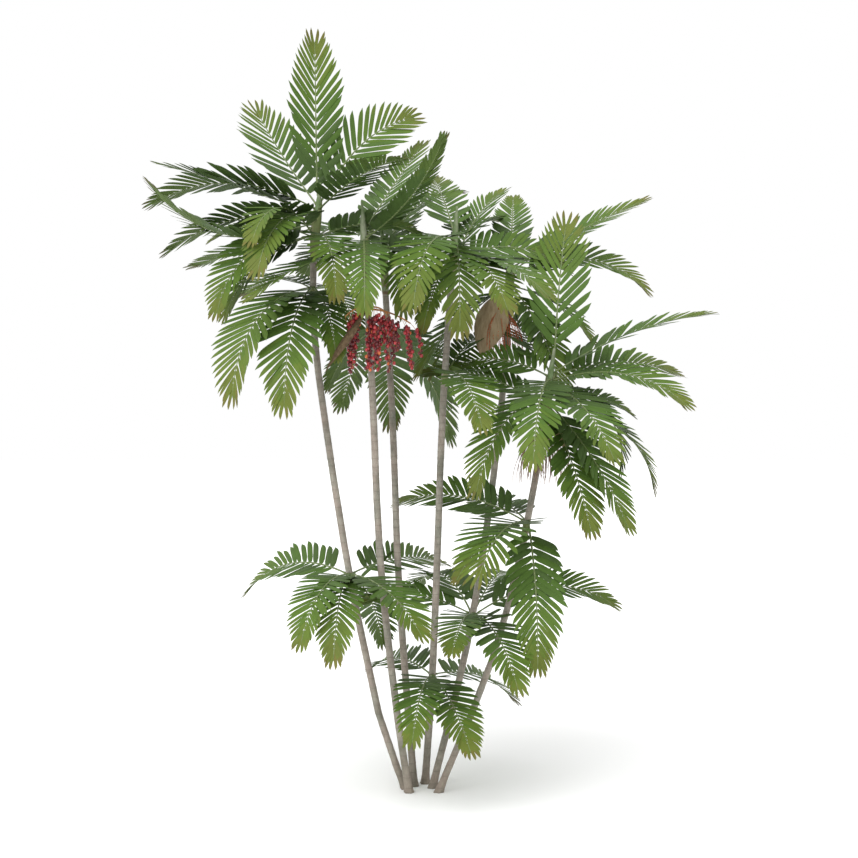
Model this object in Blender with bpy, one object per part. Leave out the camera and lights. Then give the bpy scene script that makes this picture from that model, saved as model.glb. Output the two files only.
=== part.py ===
"""Macarthur palm: a clump of six slender stems with feather fronds.

Each stem is one tapering solid from a flat cut at the ground to its spear.
Each frond is a thin blade cut to its rib between the leaflets.  Low whorls
are fused in pairs and threes on a strip of leaf sheath.  Metres, +Z up, with
the origin in the middle of the main stem's flat cut.
"""

import math
from dataclasses import dataclass

import bmesh
import bpy
from mathutils import Vector
from mathutils.bvhtree import BVHTree

# ---------------------------------------------------------------- sizes
GAP = 0.0003                  # air between a stem and what it carries
STEM_SIDES = 8
STEM_LOW_RADIUS = 0.031       # just above the root flare
STEM_HIGH_RADIUS = 0.027      # under the crownshaft
FLARE_SWELL = 0.012           # extra radius at the ground
FLARE_HEIGHT = 0.06
SHAFT_LENGTH = 0.60           # the sheaths wrapped round the stem's top
SHAFT_SWELL = 0.007
SPEAR_RADIUS = 0.009
STEM_STEP = 0.45              # height between a stem's rings

FROND_LENGTH = 1.30
FROND_DROOP = 50.0            # degrees a rib bends down from foot to tip
BEND_POWER = 1.3              # how far out the bend gathers
FOOT_LIFT = 50.0              # steepest lift of a frond at its foot
FOOT_RUN = 0.10               # share of the rib that eases off that lift
RIB_STEPS = 40
PETIOLE_END = 0.10            # share of the length before the first leaflet
BLADE_END = 0.90              # where the end leaflet starts
LEAFLETS = 4                  # on a side; each stands for four or five
LEAFLET_LENGTH = 0.31
LOW_SPREAD = 62.0             # degrees off the rib of an arching frond's first leaflets
STEEP_SPREAD = 16.0           # by how much those of a steep frond stand closer
TIP_SPREAD = 23.0
PITCH_EASE = 0.25             # how much closer the last leaflets stand
LEAFLET_TIP = 0.0042          # thickness at the tip
END_WIDTH = 0.040             # of the end leaflet
LEAFLET_FOLD = 10.0           # degrees the blade is folded up
FOOT_WIDTH = 0.034
FOOT_HEIGHT = 0.028
PETIOLE_WIDTH = 0.018
PETIOLE_HEIGHT = 0.015
RIB_END_WIDTH = 0.007
RIB_END_HEIGHT = 0.006
CLEAR = 0.0015                # air asked for round a leaflet

LEAF_GREEN = (0.085, 0.190, 0.050)
STEM_GREY = (0.330, 0.300, 0.265)
BERRY_RED = (0.420, 0.030, 0.025)
STRAND_TAN = (0.480, 0.300, 0.180)
DRY_BROWN = (0.360, 0.270, 0.200)


@dataclass(frozen=True)
class Stem:
    """A stem by the points its middle passes, foot first."""

    name: str
    way: tuple


@dataclass(frozen=True)
class Frond:
    """A frond by the way it points and bends, in degrees and metres."""

    azimuth: float
    lift: float
    droop: float = FROND_DROOP
    length: float = FROND_LENGTH
    twist: float = 0.0
    leaflet: float = LEAFLET_LENGTH


@dataclass(frozen=True)
class Crown:
    """Fronds that leave one stem about one height.

    groups gives the number of fronds fused in each node, or nothing where
    each frond is a node of its own.
    """

    name: str
    stem: int
    height: float
    fronds: tuple
    groups: tuple = ()


STEMS = (
    Stem("stem_1", ((0.00, 0.00, 0.0), (-0.18, -0.01, 0.47), (-0.36, -0.03, 1.28),
                    (-0.46, -0.04, 1.77), (-0.68, -0.07, 3.2),
                    (-0.76, -0.08, 4.0), (-0.69, -0.10, 4.95))),
    Stem("stem_2", ((0.03, -0.11, 0.0), (-0.08, -0.15, 0.76), (-0.20, -0.20, 1.9),
                    (-0.26, -0.28, 3.26), (-0.34, -0.35, 4.75))),
    Stem("stem_3", ((0.07, 0.09, 0.0), (-0.02, 0.18, 1.1), (-0.07, 0.24, 1.85),
                    (-0.11, 0.30, 2.94), (-0.21, 0.40, 4.70))),
    Stem("stem_4", ((0.16, 0.17, 0.0), (0.22, 0.10, 0.9), (0.26, 0.03, 1.87),
                    (0.31, -0.05, 3.2), (0.42, -0.15, 4.75))),
    Stem("stem_5", ((0.22, 0.03, 0.0), (0.48, 0.13, 1.02), (0.66, 0.22, 2.02),
                    (0.82, 0.33, 3.3), (0.90, 0.44, 4.58))),
    Stem("stem_6", ((0.27, -0.10, 0.0), (0.67, -0.13, 0.98), (0.89, -0.16, 1.74),
                    (1.07, -0.18, 2.66), (1.20, -0.21, 3.60))),
)

CROWNS = (
    Crown("crown_1", 0, 4.74, (
        Frond(112, 87, 0, 1.35, leaflet=0.38),
        Frond(132, 43, -10, 1.30, twist=-15, leaflet=0.45),
        Frond(35, 62, 50, twist=60, leaflet=0.38),
        Frond(175, 20, 5, 1.40),
        Frond(180, 28, 65, 1.45, twist=15),
        Frond(200, -20, -78, 1.50),
        Frond(190, 5, 50, twist=15),
        Frond(204, -14, 72, 1.22, twist=-35),
        Frond(250, 5, 80),
        Frond(305, 20, 25),
    )),
    Crown("heart_1", 0, 4.52, (
        Frond(70, 26),
        Frond(150, -4, 10),
        Frond(285, 0, 85, 1.15),
        Frond(333, 16, 55, 1.10, twist=-15),
        Frond(246, 34, 108, 1.15),
        Frond(166, 24, 60, 0.95, twist=-30),
        Frond(192, -20, 60, 1.05, twist=-30),
        Frond(32, 25, 40, 0.95, twist=35),
    ), (8,)),
    Crown("skirt_1", 0, 4.10, (
        Frond(237, -10, 83, 1.50),
        Frond(261, -17, 78, 1.48),
        Frond(292, -22, 60, 0.90),
        Frond(75, 15, 75),
        Frond(125, 20, 45),
    ), (3, 2)),
    Crown("crown_2", 1, 4.50, (
        Frond(273, -4, 90, 1.08),
        Frond(315, 20, -45, 1.18, leaflet=0.22),
        Frond(60, 45, 5),
        Frond(12, 36, -30, 0.90),
    )),
    Crown("heart_2", 1, 4.36, (
        Frond(225, -10, 30, 1.25),
        Frond(118, 22, 60),
        Frond(25, 17, 45, 1.10, twist=30),
    ), (3,)),
    Crown("crown_3", 2, 4.45, (
        Frond(282, 15, 120),
        Frond(52, 50, 50),
        Frond(80, 30, 10),
    )),
    Crown("skirt_3", 2, 3.85, (
        Frond(116, -15, 50),
        Frond(90, -20, 60, 1.35),
        Frond(62, -15, 45),
        Frond(35, -42, 40, 1.25),
        Frond(142, -20, 50, 0.90),
    ), (5,)),
    Crown("crown_4", 3, 4.50, (
        Frond(254, 4, 80, 1.45),
        Frond(272, 0, 110),
        Frond(290, -10, 45),
        Frond(72, 25, 25),
        Frond(100, 40, 20),
    )),
    Crown("heart_4", 3, 4.36, (
        Frond(305, -6, 35),
        Frond(22, 20, 60, 1.10, twist=45),
        Frond(48, 60, 35, 0.90, leaflet=0.40),
        Frond(238, -44, 30, 0.80),
    ), (4,)),
    Crown("crown_5", 4, 4.32, (
        Frond(85, 45, 15, 1.20, leaflet=0.29),
        Frond(0, 30, 8, twist=25),
        Frond(5, 26, 80, twist=35),
        Frond(45, 27, 5),
        Frond(140, 15, 60),
    )),
    Crown("skirt_5", 4, 4.16, (
        Frond(208, -26, 40, 1.20),
        Frond(305, -42, 35, 1.25),
        Frond(326, -15, 45, 0.95),
        Frond(190, -34, 40, 1.05),
    ), (4,)),
    Crown("crown_6", 5, 3.39, (
        Frond(68, 80, 15, 1.28, twist=20, leaflet=0.43),
        Frond(110, 35, 10),
        Frond(0, 32, 28, 1.40, twist=12),
        Frond(25, 18, 40, twist=32),
        Frond(328, 14, 60, 1.25, twist=20),
        Frond(290, -12, 40),
        Frond(5, -12, 100, 1.05),
        Frond(258, -5, 70),
        Frond(225, -20, 60, 1.25),
        Frond(152, 27, 60, 1.05, twist=-40),
    )),
    Crown("skirt_6", 5, 3.15, (
        Frond(292, -46, 20, 1.26),
        Frond(313, -40, 25, 1.30),
        Frond(347, -5, 85, 1.20),
        Frond(164, 33, 45, 1.10, twist=-30),
        Frond(24, 18, 60, 0.85, twist=30),
    ), (5,)),
    Crown("whorl_1", 0, 1.77, (
        Frond(50, 14, 37, twist=25),
        Frond(75, -20, 45, 1.25),
        Frond(141, 15, 66, 1.32, twist=-35),
        Frond(251, 4, 72, 1.14),
        Frond(266, -1, 75, 1.18),
        Frond(300, 0, 42),
    ), (6,)),
    Crown("whorl_6", 5, 2.21, (
        Frond(147, 25, 50, 1.34, twist=-32),
        Frond(110, 20, 40, 1.20),
        Frond(246, 4, 55, 1.15, leaflet=0.48),
        Frond(220, -10, 50, 0.90),
        Frond(275, -45, 55),
    ), (5,)),
    Crown("whorl_5", 4, 1.42, (
        Frond(115, 40, 90),
        Frond(70, 30),
        Frond(5, 33, 75, twist=30),
        Frond(165, 25, 60, 1.10, twist=-20),
        Frond(285, 0, 50),
        Frond(260, 8, 40, 1.15),
    ), (6,)),
    Crown("whorl_4", 3, 0.92, (
        Frond(118, 12, 45, 1.20, twist=-20),
        Frond(52, -2, 42, 1.30, twist=20),
        Frond(262, 8, 60, 1.20),
        Frond(285, -8, 30, 1.20),
    ), (4,)),
    Crown("mid_4", 3, 3.42, (
        Frond(283, 0, 55),
        Frond(55, 46, 55, 0.95),
    ), (2,)),
)


# ------------------------------------------------------------ materials
def make_material(name, colour, roughness):
    """A plain Principled surface."""
    material = bpy.data.materials.new(name)
    material.use_nodes = True
    shader = material.node_tree.nodes["Principled BSDF"]
    shader.inputs["Base Color"].default_value = (*colour, 1.0)
    shader.inputs["Roughness"].default_value = roughness
    shader.inputs["Metallic"].default_value = 0.0
    material.diffuse_color = (*colour, 1.0)
    return material


def add_object(name, bm, collection, colour, roughness, smooth=False):
    """Close a bmesh into an object with a material of its own."""
    bmesh.ops.triangulate(bm, faces=bm.faces[:])
    bmesh.ops.recalc_face_normals(bm, faces=bm.faces[:])
    mesh = bpy.data.meshes.new(name)
    bm.to_mesh(mesh)
    bm.free()
    if smooth:
        mesh.shade_smooth()
        mesh.set_sharp_from_angle(angle=math.radians(40))
    mesh.materials.append(make_material(f"{name}_surface", colour, roughness))
    obj = bpy.data.objects.new(name, mesh)
    collection.objects.link(obj)
    return obj


# ---------------------------------------------------------------- lofts
def loft(bm, rings):
    """Extrude one face through the rings; returns each ring's vertices."""
    count = len(rings[0])
    start = bmesh.ops.create_circle(bm, cap_ends=True, segments=count, radius=1.0)
    verts = start["verts"]
    for vert, place in zip(verts, rings[0]):
        vert.co = place
    face = verts[0].link_faces[0]
    made = [list(verts)]
    for ring in rings[1:]:
        grown = bmesh.ops.extrude_discrete_faces(bm, faces=[face])
        face = grown["faces"][0]
        new = [None] * count
        for vert in face.verts:
            for edge in vert.link_edges:
                other = edge.other_vert(vert)
                if other in made[-1]:
                    new[made[-1].index(other)] = vert
        for vert, place in zip(new, ring):
            vert.co = place
        made.append(new)
    return made, face


def close_start(bm, ring):
    """Put the first face back if extruding it took it away."""
    if bm.faces.get(ring) is None:
        bm.faces.new(ring)


# ---------------------------------------------------------------- stems
def catmull(points, z):
    """The smooth line's x and y at a height."""
    last = len(points) - 1
    i = 0
    while i < last - 1 and z > points[i + 1][2]:
        i += 1
    p0 = points[max(i - 1, 0)]
    p1 = points[i]
    p2 = points[i + 1]
    p3 = points[min(i + 2, last)]
    span = p2[2] - p1[2]
    t = (z - p1[2]) / span
    place = []
    for axis in (0, 1):
        m1 = (p2[axis] - p0[axis]) / (p2[2] - p0[2]) * span
        m2 = (p3[axis] - p1[axis]) / (p3[2] - p1[2]) * span
        a = 2 * t ** 3 - 3 * t ** 2 + 1
        b = t ** 3 - 2 * t ** 2 + t
        c = -2 * t ** 3 + 3 * t ** 2
        d = t ** 3 - t ** 2
        place.append(a * p1[axis] + b * m1 + c * p2[axis] + d * m2)
    return place


def stem_radius(z, top):
    """Root flare, taper, crownshaft and spear."""
    share = z / top
    radius = STEM_LOW_RADIUS + (STEM_HIGH_RADIUS - STEM_LOW_RADIUS) * share
    radius += FLARE_SWELL * math.exp(-z / FLARE_HEIGHT)
    up = z - (top - SHAFT_LENGTH)
    if up > 0.0:
        swell = min(1.0, up / 0.10)
        radius += SHAFT_SWELL * swell
        narrow = max(0.0, (up - 0.30) / (SHAFT_LENGTH - 0.30))
        radius += (SPEAR_RADIUS - radius) * narrow
    return radius


def stem_stations(stem):
    """Heights of the rings, with their middles and radii."""
    top = stem.way[-1][2]
    shaft = top - SHAFT_LENGTH
    heights = [0.0, 0.05, 0.16]
    count = round((shaft - 0.16) / STEM_STEP)
    heights += [0.16 + (shaft - 0.16) * (k + 1) / count for k in range(count)]
    heights += [shaft + 0.10, shaft + 0.30, top]
    stations = []
    for z in heights:
        x, y = catmull(stem.way, z)
        stations.append((z, x, y, stem_radius(z, top)))
    return stations


def stem_at(stations, z):
    """Middle, radius and run of the stem's solid at a height."""
    i = 0
    while i < len(stations) - 2 and z > stations[i + 1][0]:
        i += 1
    a = stations[i]
    b = stations[i + 1]
    t = (z - a[0]) / (b[0] - a[0])
    low = Vector((a[1], a[2], a[0]))
    high = Vector((b[1], b[2], b[0]))
    return low.lerp(high, t), a[3] + (b[3] - a[3]) * t, (high - low).normalized()


def stem_mesh(stations):
    """A eight-sided tapering tube with level rings."""
    rings = []
    for z, x, y, radius in stations:
        ring = []
        for k in range(STEM_SIDES):
            turn = math.tau * k / STEM_SIDES
            ring.append(Vector((x + radius * math.cos(turn),
                                y + radius * math.sin(turn), z)))
        rings.append(ring)
    bm = bmesh.new()
    made, _ = loft(bm, rings)
    close_start(bm, made[0])
    return bm


# --------------------------------------------------------------- fronds
def rib_lift(frond, t):
    """The rib's angle above level at a share of its length."""
    lift = frond.lift - frond.droop * t ** BEND_POWER
    if lift > FOOT_LIFT:
        lift -= (lift - FOOT_LIFT) * max(0.0, 1.0 - t / FOOT_RUN)
    return math.radians(lift)


def foot_place(stations, frond, height, extra=0.0):
    """Middle of a frond's foot and the way the stem runs there."""
    centre, _, run = stem_at(stations, height)
    reach = 0.0
    for dz in (-0.5 * FOOT_HEIGHT, 0.5 * FOOT_HEIGHT):
        reach = max(reach, stem_at(stations, height + dz)[1])
    step = 360.0 / STEM_SIDES
    off = math.radians((frond.azimuth + step / 2) % step - step / 2)
    out = reach * math.cos(off) + GAP + 0.0001 + extra
    turn = math.radians(frond.azimuth)
    way = Vector((math.cos(turn), math.sin(turn), 0.0))
    return centre + way * out, run


class Rib:
    """A frond's rib: its line, and the across and up ways along it."""

    def __init__(self, frond, foot, run):
        self.frond = frond
        self.run = run
        turn = math.radians(frond.azimuth)
        self.level = Vector((-math.sin(turn), math.cos(turn), 0.0))
        self.points = [foot.copy()]
        self.ways = []
        step = frond.length / RIB_STEPS
        for i in range(RIB_STEPS):
            lift = rib_lift(frond, (i + 0.5) / RIB_STEPS)
            way = Vector((math.cos(lift) * math.cos(turn),
                          math.cos(lift) * math.sin(turn), math.sin(lift)))
            self.ways.append(way)
            self.points.append(self.points[-1] + way * step)

    def at(self, t):
        """Place, way along, way across and way up at a share."""
        x = min(max(t, 0.0), 1.0) * RIB_STEPS
        i = min(int(x), RIB_STEPS - 1)
        place = self.points[i].lerp(self.points[i + 1], x - i)
        before = self.ways[max(int(x - 0.5), 0)]
        after = self.ways[min(int(x + 0.5), RIB_STEPS - 1)]
        along = (before + after).normalized()
        up = along.cross(self.level)
        turn = math.radians(self.frond.twist) * min(1.0, t / PETIOLE_END)
        across = self.level * math.cos(turn) + up * math.sin(turn)
        return place, along, across, along.cross(across)

    def size(self, t):
        """Width and height of the rib at a share."""
        if t < PETIOLE_END:
            s = min(1.0, t / (0.35 * PETIOLE_END))
            return (FOOT_WIDTH + (PETIOLE_WIDTH - FOOT_WIDTH) * s,
                    FOOT_HEIGHT + (PETIOLE_HEIGHT - FOOT_HEIGHT) * s)
        s = (t - PETIOLE_END) / (BLADE_END - PETIOLE_END)
        return (PETIOLE_WIDTH + (RIB_END_WIDTH - PETIOLE_WIDTH) * s,
                PETIOLE_HEIGHT + (RIB_END_HEIGHT - PETIOLE_HEIGHT) * s)

    def ring(self, t):
        """Four corners of the rib at a share, the foot's along the stem."""
        place, _, across, up = self.at(t)
        width, height = self.size(t)
        if t == 0.0:
            across = self.level
            up = self.run
        return [place - across * width / 2 - up * height / 2,
                place + across * width / 2 - up * height / 2,
                place + across * width / 2 + up * height / 2,
                place - across * width / 2 + up * height / 2]


def blade_share(w):
    """Share of the rib at a share of the leaflets, closer further out."""
    return PETIOLE_END + (BLADE_END - PETIOLE_END) * w * (1.0 + PITCH_EASE * (1.0 - w))


def blade_shares():
    """Shares of the rib where one leaflet's base ends and the next starts."""
    return [blade_share(k / LEAFLETS) for k in range(LEAFLETS + 1)]


def rib_shares():
    """Every ring of the rib's solid."""
    return [0.0, 0.35 * PETIOLE_END] + blade_shares()


def leaflet_rule(frond, u):
    """Length share and angle off the rib at a share of the leaflets."""
    swell = math.sin(math.pi * min(1.0, 0.12 + 0.95 * u) ** 0.9)
    steep = min(1.0, max(0.0, (frond.lift - 10.0) / 65.0))
    spread = LOW_SPREAD - STEEP_SPREAD * steep
    return 0.56 + 0.44 * swell, math.radians(spread - (spread - TIP_SPREAD) * u ** 1.1)


def leaflet_corners(rib, k, side, stretch, fold):
    """Tip corners of a leaflet: near low, far low, far high, near high."""
    shares = blade_shares()
    share, angle = leaflet_rule(rib.frond, (k + 0.5) / LEAFLETS)
    middle = (shares[k] + shares[k + 1]) / 2
    _, along, across, up = rib.at(middle)
    rise = math.radians(fold)
    way = along * math.cos(angle) + (across * side * math.cos(rise)
                                     + up * math.sin(rise)) * math.sin(angle)
    reach = rib.frond.leaflet * rib.frond.length / FROND_LENGTH * share * stretch
    near, _, near_across, _ = rib.at(shares[k])
    far, _, far_across, _ = rib.at(shares[k + 1])
    near = near + near_across * side * rib.size(shares[k])[0] / 2
    far = far + far_across * side * rib.size(shares[k + 1])[0] / 2
    base = far - near
    flat = way.cross(base).normalized() * (LEAFLET_TIP / 2)
    if flat.dot(up) < 0.0:
        flat = -flat
    near_tip = near + way * reach + base * 0.20
    far_tip = far + way * reach * 0.95 - base * 0.08
    return near, far, near_tip, far_tip, flat, way


def leaflet_guard(rib, k, side, stretch, fold):
    """A slightly larger leaflet, to find what it would touch."""
    near, far, near_tip, far_tip, flat, way = leaflet_corners(
        rib, k, side, stretch, fold)
    up = flat.normalized()
    spread = (far - near).normalized() * CLEAR
    start = way * 0.012
    thick = rib.size(blade_shares()[k])[1] / 2 + CLEAR
    thin = LEAFLET_TIP / 2 + CLEAR
    corners = []
    for lift_base, lift_tip in ((-thick, -thin), (thick, thin)):
        corners += [near + start - spread + up * lift_base,
                    far + start + spread + up * lift_base,
                    far_tip + spread + way * CLEAR + up * lift_tip,
                    near_tip - spread + way * CLEAR + up * lift_tip]
    faces = [(0, 1, 2, 3), (7, 6, 5, 4), (0, 4, 5, 1),
             (1, 5, 6, 2), (2, 6, 7, 3), (3, 7, 4, 0)]
    return BVHTree.FromPolygons(corners, faces)


def mesh_tree(bm):
    """A search tree of a bmesh's faces."""
    bm.faces.ensure_lookup_table()
    return BVHTree.FromBMesh(bm)


def rib_mesh(rib):
    """The rib alone, with its end leaflet."""
    bm = bmesh.new()
    rings = [rib.ring(t) for t in rib_shares()]
    place, _, across, up = rib.at(1.0)
    across = across * (END_WIDTH / 2)
    up = up * (LEAFLET_TIP / 2)
    rings.append([place - across - up, place + across - up,
                  place + across + up, place - across + up])
    made, _ = loft(bm, rings)
    close_start(bm, made[0])
    return bm, made


def side_face(bm, made, ring, side):
    """The face between two rings on one side of the rib."""
    low, high = ((1, 2) if side > 0 else (3, 0))
    corners = (made[ring][low], made[ring][high],
               made[ring + 1][high], made[ring + 1][low])
    return bm.faces.get(corners)


def add_leaflet(bm, made, rib, k, side, stretch, fold):
    """Draw a side face of the rib out into a leaflet."""
    near, far, near_tip, far_tip, flat, _ = leaflet_corners(
        rib, k, side, stretch, fold)
    face = side_face(bm, made, k + 2, side)
    grown = bmesh.ops.extrude_discrete_faces(bm, faces=[face])["faces"][0]
    _, _, _, up = rib.at(blade_shares()[k])
    middle = (near + far) / 2
    along = far - near
    for vert in grown.verts:
        tip = far_tip if (vert.co - middle).dot(along) > 0 else near_tip
        edge = near if tip is near_tip else far
        vert.co = tip + flat * (1.0 if (vert.co - edge).dot(up) > 0 else -1.0)


# tries of a leaflet: share of its full length, and its fold in degrees
TRIES = ((1.0, LEAFLET_FOLD), (1.0, -4.0), (1.0, 24.0), (0.85, LEAFLET_FOLD),
         (0.85, -16.0), (0.7, LEAFLET_FOLD), (0.7, 30.0), (0.7, -22.0),
         (0.5, LEAFLET_FOLD), (0.35, LEAFLET_FOLD))


def settle_feet(crown, taken):
    """Heights of a crown's feet, the steepest highest, none on another."""
    order = sorted(range(len(crown.fronds)),
                   key=lambda i: -crown.fronds[i].lift)
    heights = [0.0] * len(crown.fronds)
    for i in order:
        frond = crown.fronds[i]
        height = crown.height + 0.10 * (frond.lift - 20.0) / 60.0
        if crown.groups:
            height = crown.height
        free = bool(crown.groups)
        while not free:
            free = True
            for azimuth, other in taken:
                turn = abs((frond.azimuth - azimuth + 180.0) % 360.0 - 180.0)
                if turn < 68.0 and abs(height - other) < FOOT_HEIGHT + 0.003:
                    free = False
            if not free:
                height -= 0.004
        taken.append((frond.azimuth, height))
        heights[i] = height
    return heights


def plan_fronds(all_stations):
    """Every frond's node, rib and mesh, before it has leaflets."""
    plans = []
    taken = [[] for _ in all_stations]
    for crown in CROWNS:
        stations = all_stations[crown.stem]
        heights = settle_feet(crown, taken[crown.stem])
        extra = 0.006 if crown.groups else 0.0
        nodes = []
        if crown.groups:
            for g, count in enumerate(crown.groups):
                nodes += [f"{crown.name}_fronds_{'abc'[g]}"] * count
        for i, frond in enumerate(crown.fronds):
            node = nodes[i] if nodes else f"{crown.name}_frond_{i + 1:02d}"
            foot, run = foot_place(stations, frond, heights[i], extra)
            rib = Rib(frond, foot, run)
            bm, made = rib_mesh(rib)
            plans.append({"node": node, "crown": crown, "rib": rib, "bm": bm,
                          "made": made, "height": heights[i], "index": i})
    return plans


def dress_fronds(plans, stem_trees, fixed_trees):
    """Give every rib its leaflets, each where it touches nothing."""
    ribs = [mesh_tree(plan["bm"]) for plan in plans]
    dressed = []
    for i, plan in enumerate(plans):
        others = [tree for j, tree in enumerate(ribs) if j != i and j >= i]
        others += dressed + stem_trees + fixed_trees
        for side in (1, -1):
            for k in range(LEAFLETS):
                for stretch, fold in TRIES:
                    guard = leaflet_guard(plan["rib"], k, side, stretch, fold)
                    if not any(tree.overlap(guard) for tree in others):
                        add_leaflet(plan["bm"], plan["made"], plan["rib"],
                                    k, side, stretch, fold)
                        break
        dressed.append(mesh_tree(plan["bm"]))


def sheath_mesh(stations, low, high, height):
    """A strip of leaf sheath bent round part of a stem."""
    bm = bmesh.new()
    centre, radius, run = stem_at(stations, height)
    half = 0.024
    inner = max(stem_at(stations, height - half)[1],
                stem_at(stations, height + half)[1]) + GAP + 0.0002
    count = max(3, round((high - low) / 24.0))
    step = math.radians(high - low) / count
    inner /= math.cos(step / 2)
    rings = []
    for k in range(count + 1):
        turn = math.radians(low) + step * k
        way = Vector((math.cos(turn), math.sin(turn), 0.0))
        rings.append([centre + way * inner - run * half,
                      centre + way * (inner + 0.013) - run * half,
                      centre + way * (inner + 0.013) + run * half,
                      centre + way * inner + run * half])
    made, _ = loft(bm, rings)
    close_start(bm, made[0])
    return bm


def join_solids(name, pieces, collection, cutters, colour, roughness, solver):
    """One Boolean union of several closed pieces."""
    base = add_object(name, pieces[0], collection, colour, roughness)
    others = bpy.data.collections.new(f"{name}_joined")
    cutters.children.link(others)
    for k, bm in enumerate(pieces[1:]):
        piece = add_object(f"{name}_join_{k}", bm, others, colour, roughness)
        piece.hide_render = True
        piece.display_type = "WIRE"
    union = base.modifiers.new("join", "BOOLEAN")
    union.operation = "UNION"
    union.operand_type = "COLLECTION"
    union.collection = others
    union.solver = solver
    graph = bpy.context.evaluated_depsgraph_get()
    mesh = bpy.data.meshes.new_from_object(base.evaluated_get(graph))
    base.modifiers.remove(union)
    base.data = mesh
    for piece in list(others.objects):
        bpy.data.objects.remove(piece, do_unlink=True)
    bpy.data.collections.remove(others)
    return base


# ------------------------------------------------------- fruit and bract
def tube_rings(points, radii, sides, flat=1.0):
    """Rings square to a line, flattened across if asked."""
    rings = []
    for i, point in enumerate(points):
        before = points[max(i - 1, 0)]
        after = points[min(i + 1, len(points) - 1)]
        along = (after - before).normalized()
        aside = along.cross(Vector((0.0, 1.0, 0.0)))
        if aside.length < 0.05:
            aside = along.cross(Vector((1.0, 0.0, 0.0)))
        aside.normalize()
        up = aside.cross(along)
        ring = []
        for k in range(sides):
            turn = math.tau * (k + 0.5) / sides
            ring.append(point + (aside * math.cos(turn)
                                 + up * math.sin(turn) * flat) * radii[i])
        rings.append(ring)
    return rings


def tube(points, radii, sides, flat=1.0):
    """A closed tube through the points."""
    bm = bmesh.new()
    made, _ = loft(bm, tube_rings(points, radii, sides, flat))
    close_start(bm, made[0])
    return bm


def arc(start, end, sag, count):
    """Points of a line that bulges by sag, upward if positive."""
    points = []
    for i in range(count + 1):
        t = i / count
        points.append(start.lerp(end, t) + Vector((0, 0, 4 * sag * t * (1 - t))))
    return points


def hanging_string(start, length, lean, beads, bead_radius, thread):
    """A string that hangs from a branch, swelling at each drupe."""
    points = []
    radii = []
    count = 2 * beads + 1
    for i in range(count + 1):
        t = i / count
        points.append(start + Vector((lean[0] * t, lean[1] * t,
                                      -length * t + 0.0)))
        bead = beads and i % 2 == 0 and i > 0
        radii.append(bead_radius if bead else thread)
    return tube(points, radii, 4 if beads else 3)


FRUIT_HEIGHT = 3.86
FRUIT_BRANCHES = ((-0.17, -0.06, -0.07), (0.16, -0.10, -0.05), (0.34, -0.02, -0.12))
FRUIT_STRINGS = 3             # on each branch
FLOWER_HEIGHT = 3.93
DRY_HEIGHT = 2.92


def stalk(stations, azimuth, height, steps, radii):
    """A stalk off a stem, its foot's face lying along the stem."""
    foot, run = foot_place(stations, Frond(azimuth, 0.0), height)
    points = [foot + Vector(step) for step in ((0, 0, 0), *steps)]
    rings = tube_rings(points, radii, 6)
    turn = math.radians(azimuth)
    level = Vector((-math.sin(turn), math.cos(turn), 0.0))
    ring = []
    for k in range(6):
        angle = math.tau * (k + 0.5) / 6
        ring.append(foot + level * math.cos(angle) * radii[0]
                    + run * math.sin(angle) * radii[0] * 0.8)
    bm = bmesh.new()
    made, _ = loft(bm, match_ring(ring, rings))
    close_start(bm, made[0])
    return bm, points[-2]


def match_ring(ring, rings):
    """Turn the first ring so its corners face those of the next."""
    best = None
    for flip in (1, -1):
        for shift in range(len(ring)):
            turned = [ring[(flip * k + shift) % len(ring)]
                      for k in range(len(ring))]
            cost = sum((a - b).length for a, b in zip(turned, rings[1]))
            if best is None or cost < best[0]:
                best = (cost, turned)
    return [best[1], *rings[1:]]


def fruit_pieces(stations):
    """A forked stalk hung with strings of drupes, and its bract."""
    first, fork = stalk(stations, 270.0, FRUIT_HEIGHT,
                        ((0.0, -0.06, 0.015), (0.0, -0.16, 0.035),
                         (0.0, -0.18, 0.035)), [0.016, 0.013, 0.013, 0.010])
    pieces = [first]
    for b, (dx, dy, dz) in enumerate(FRUIT_BRANCHES):
        end = fork + Vector((dx, dy, dz))
        line = arc(fork + Vector((0.0, 0.004 * b, -0.003 * b)), end, 0.03, 3)
        pieces.append(tube(line, [0.009, 0.008, 0.007, 0.006], 4))
        for s in range(FRUIT_STRINGS):
            t = 0.40 + 0.56 * s / (FRUIT_STRINGS - 1)
            spot = line[0].lerp(end, t) + Vector((0, 0, 0.12 * t * (1 - t)))
            length = 0.38 + 0.12 * ((s * 7 + b * 3) % 5) / 4
            lean = (0.10 * (t - 0.5) + 0.02 * (b - 1), -0.05 + 0.03 * (s % 3))
            pieces.append(hanging_string(spot, length, lean, 4, 0.021, 0.006))
    tip = fork + Vector((-0.31, -0.20, -0.50))
    line = arc(fork + Vector((-0.005, 0.0, 0.0)), tip, 0.02, 5)
    pieces.append(tube(line, [0.008, 0.045, 0.062, 0.055, 0.034, 0.010], 6, 0.30))
    return pieces


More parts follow.
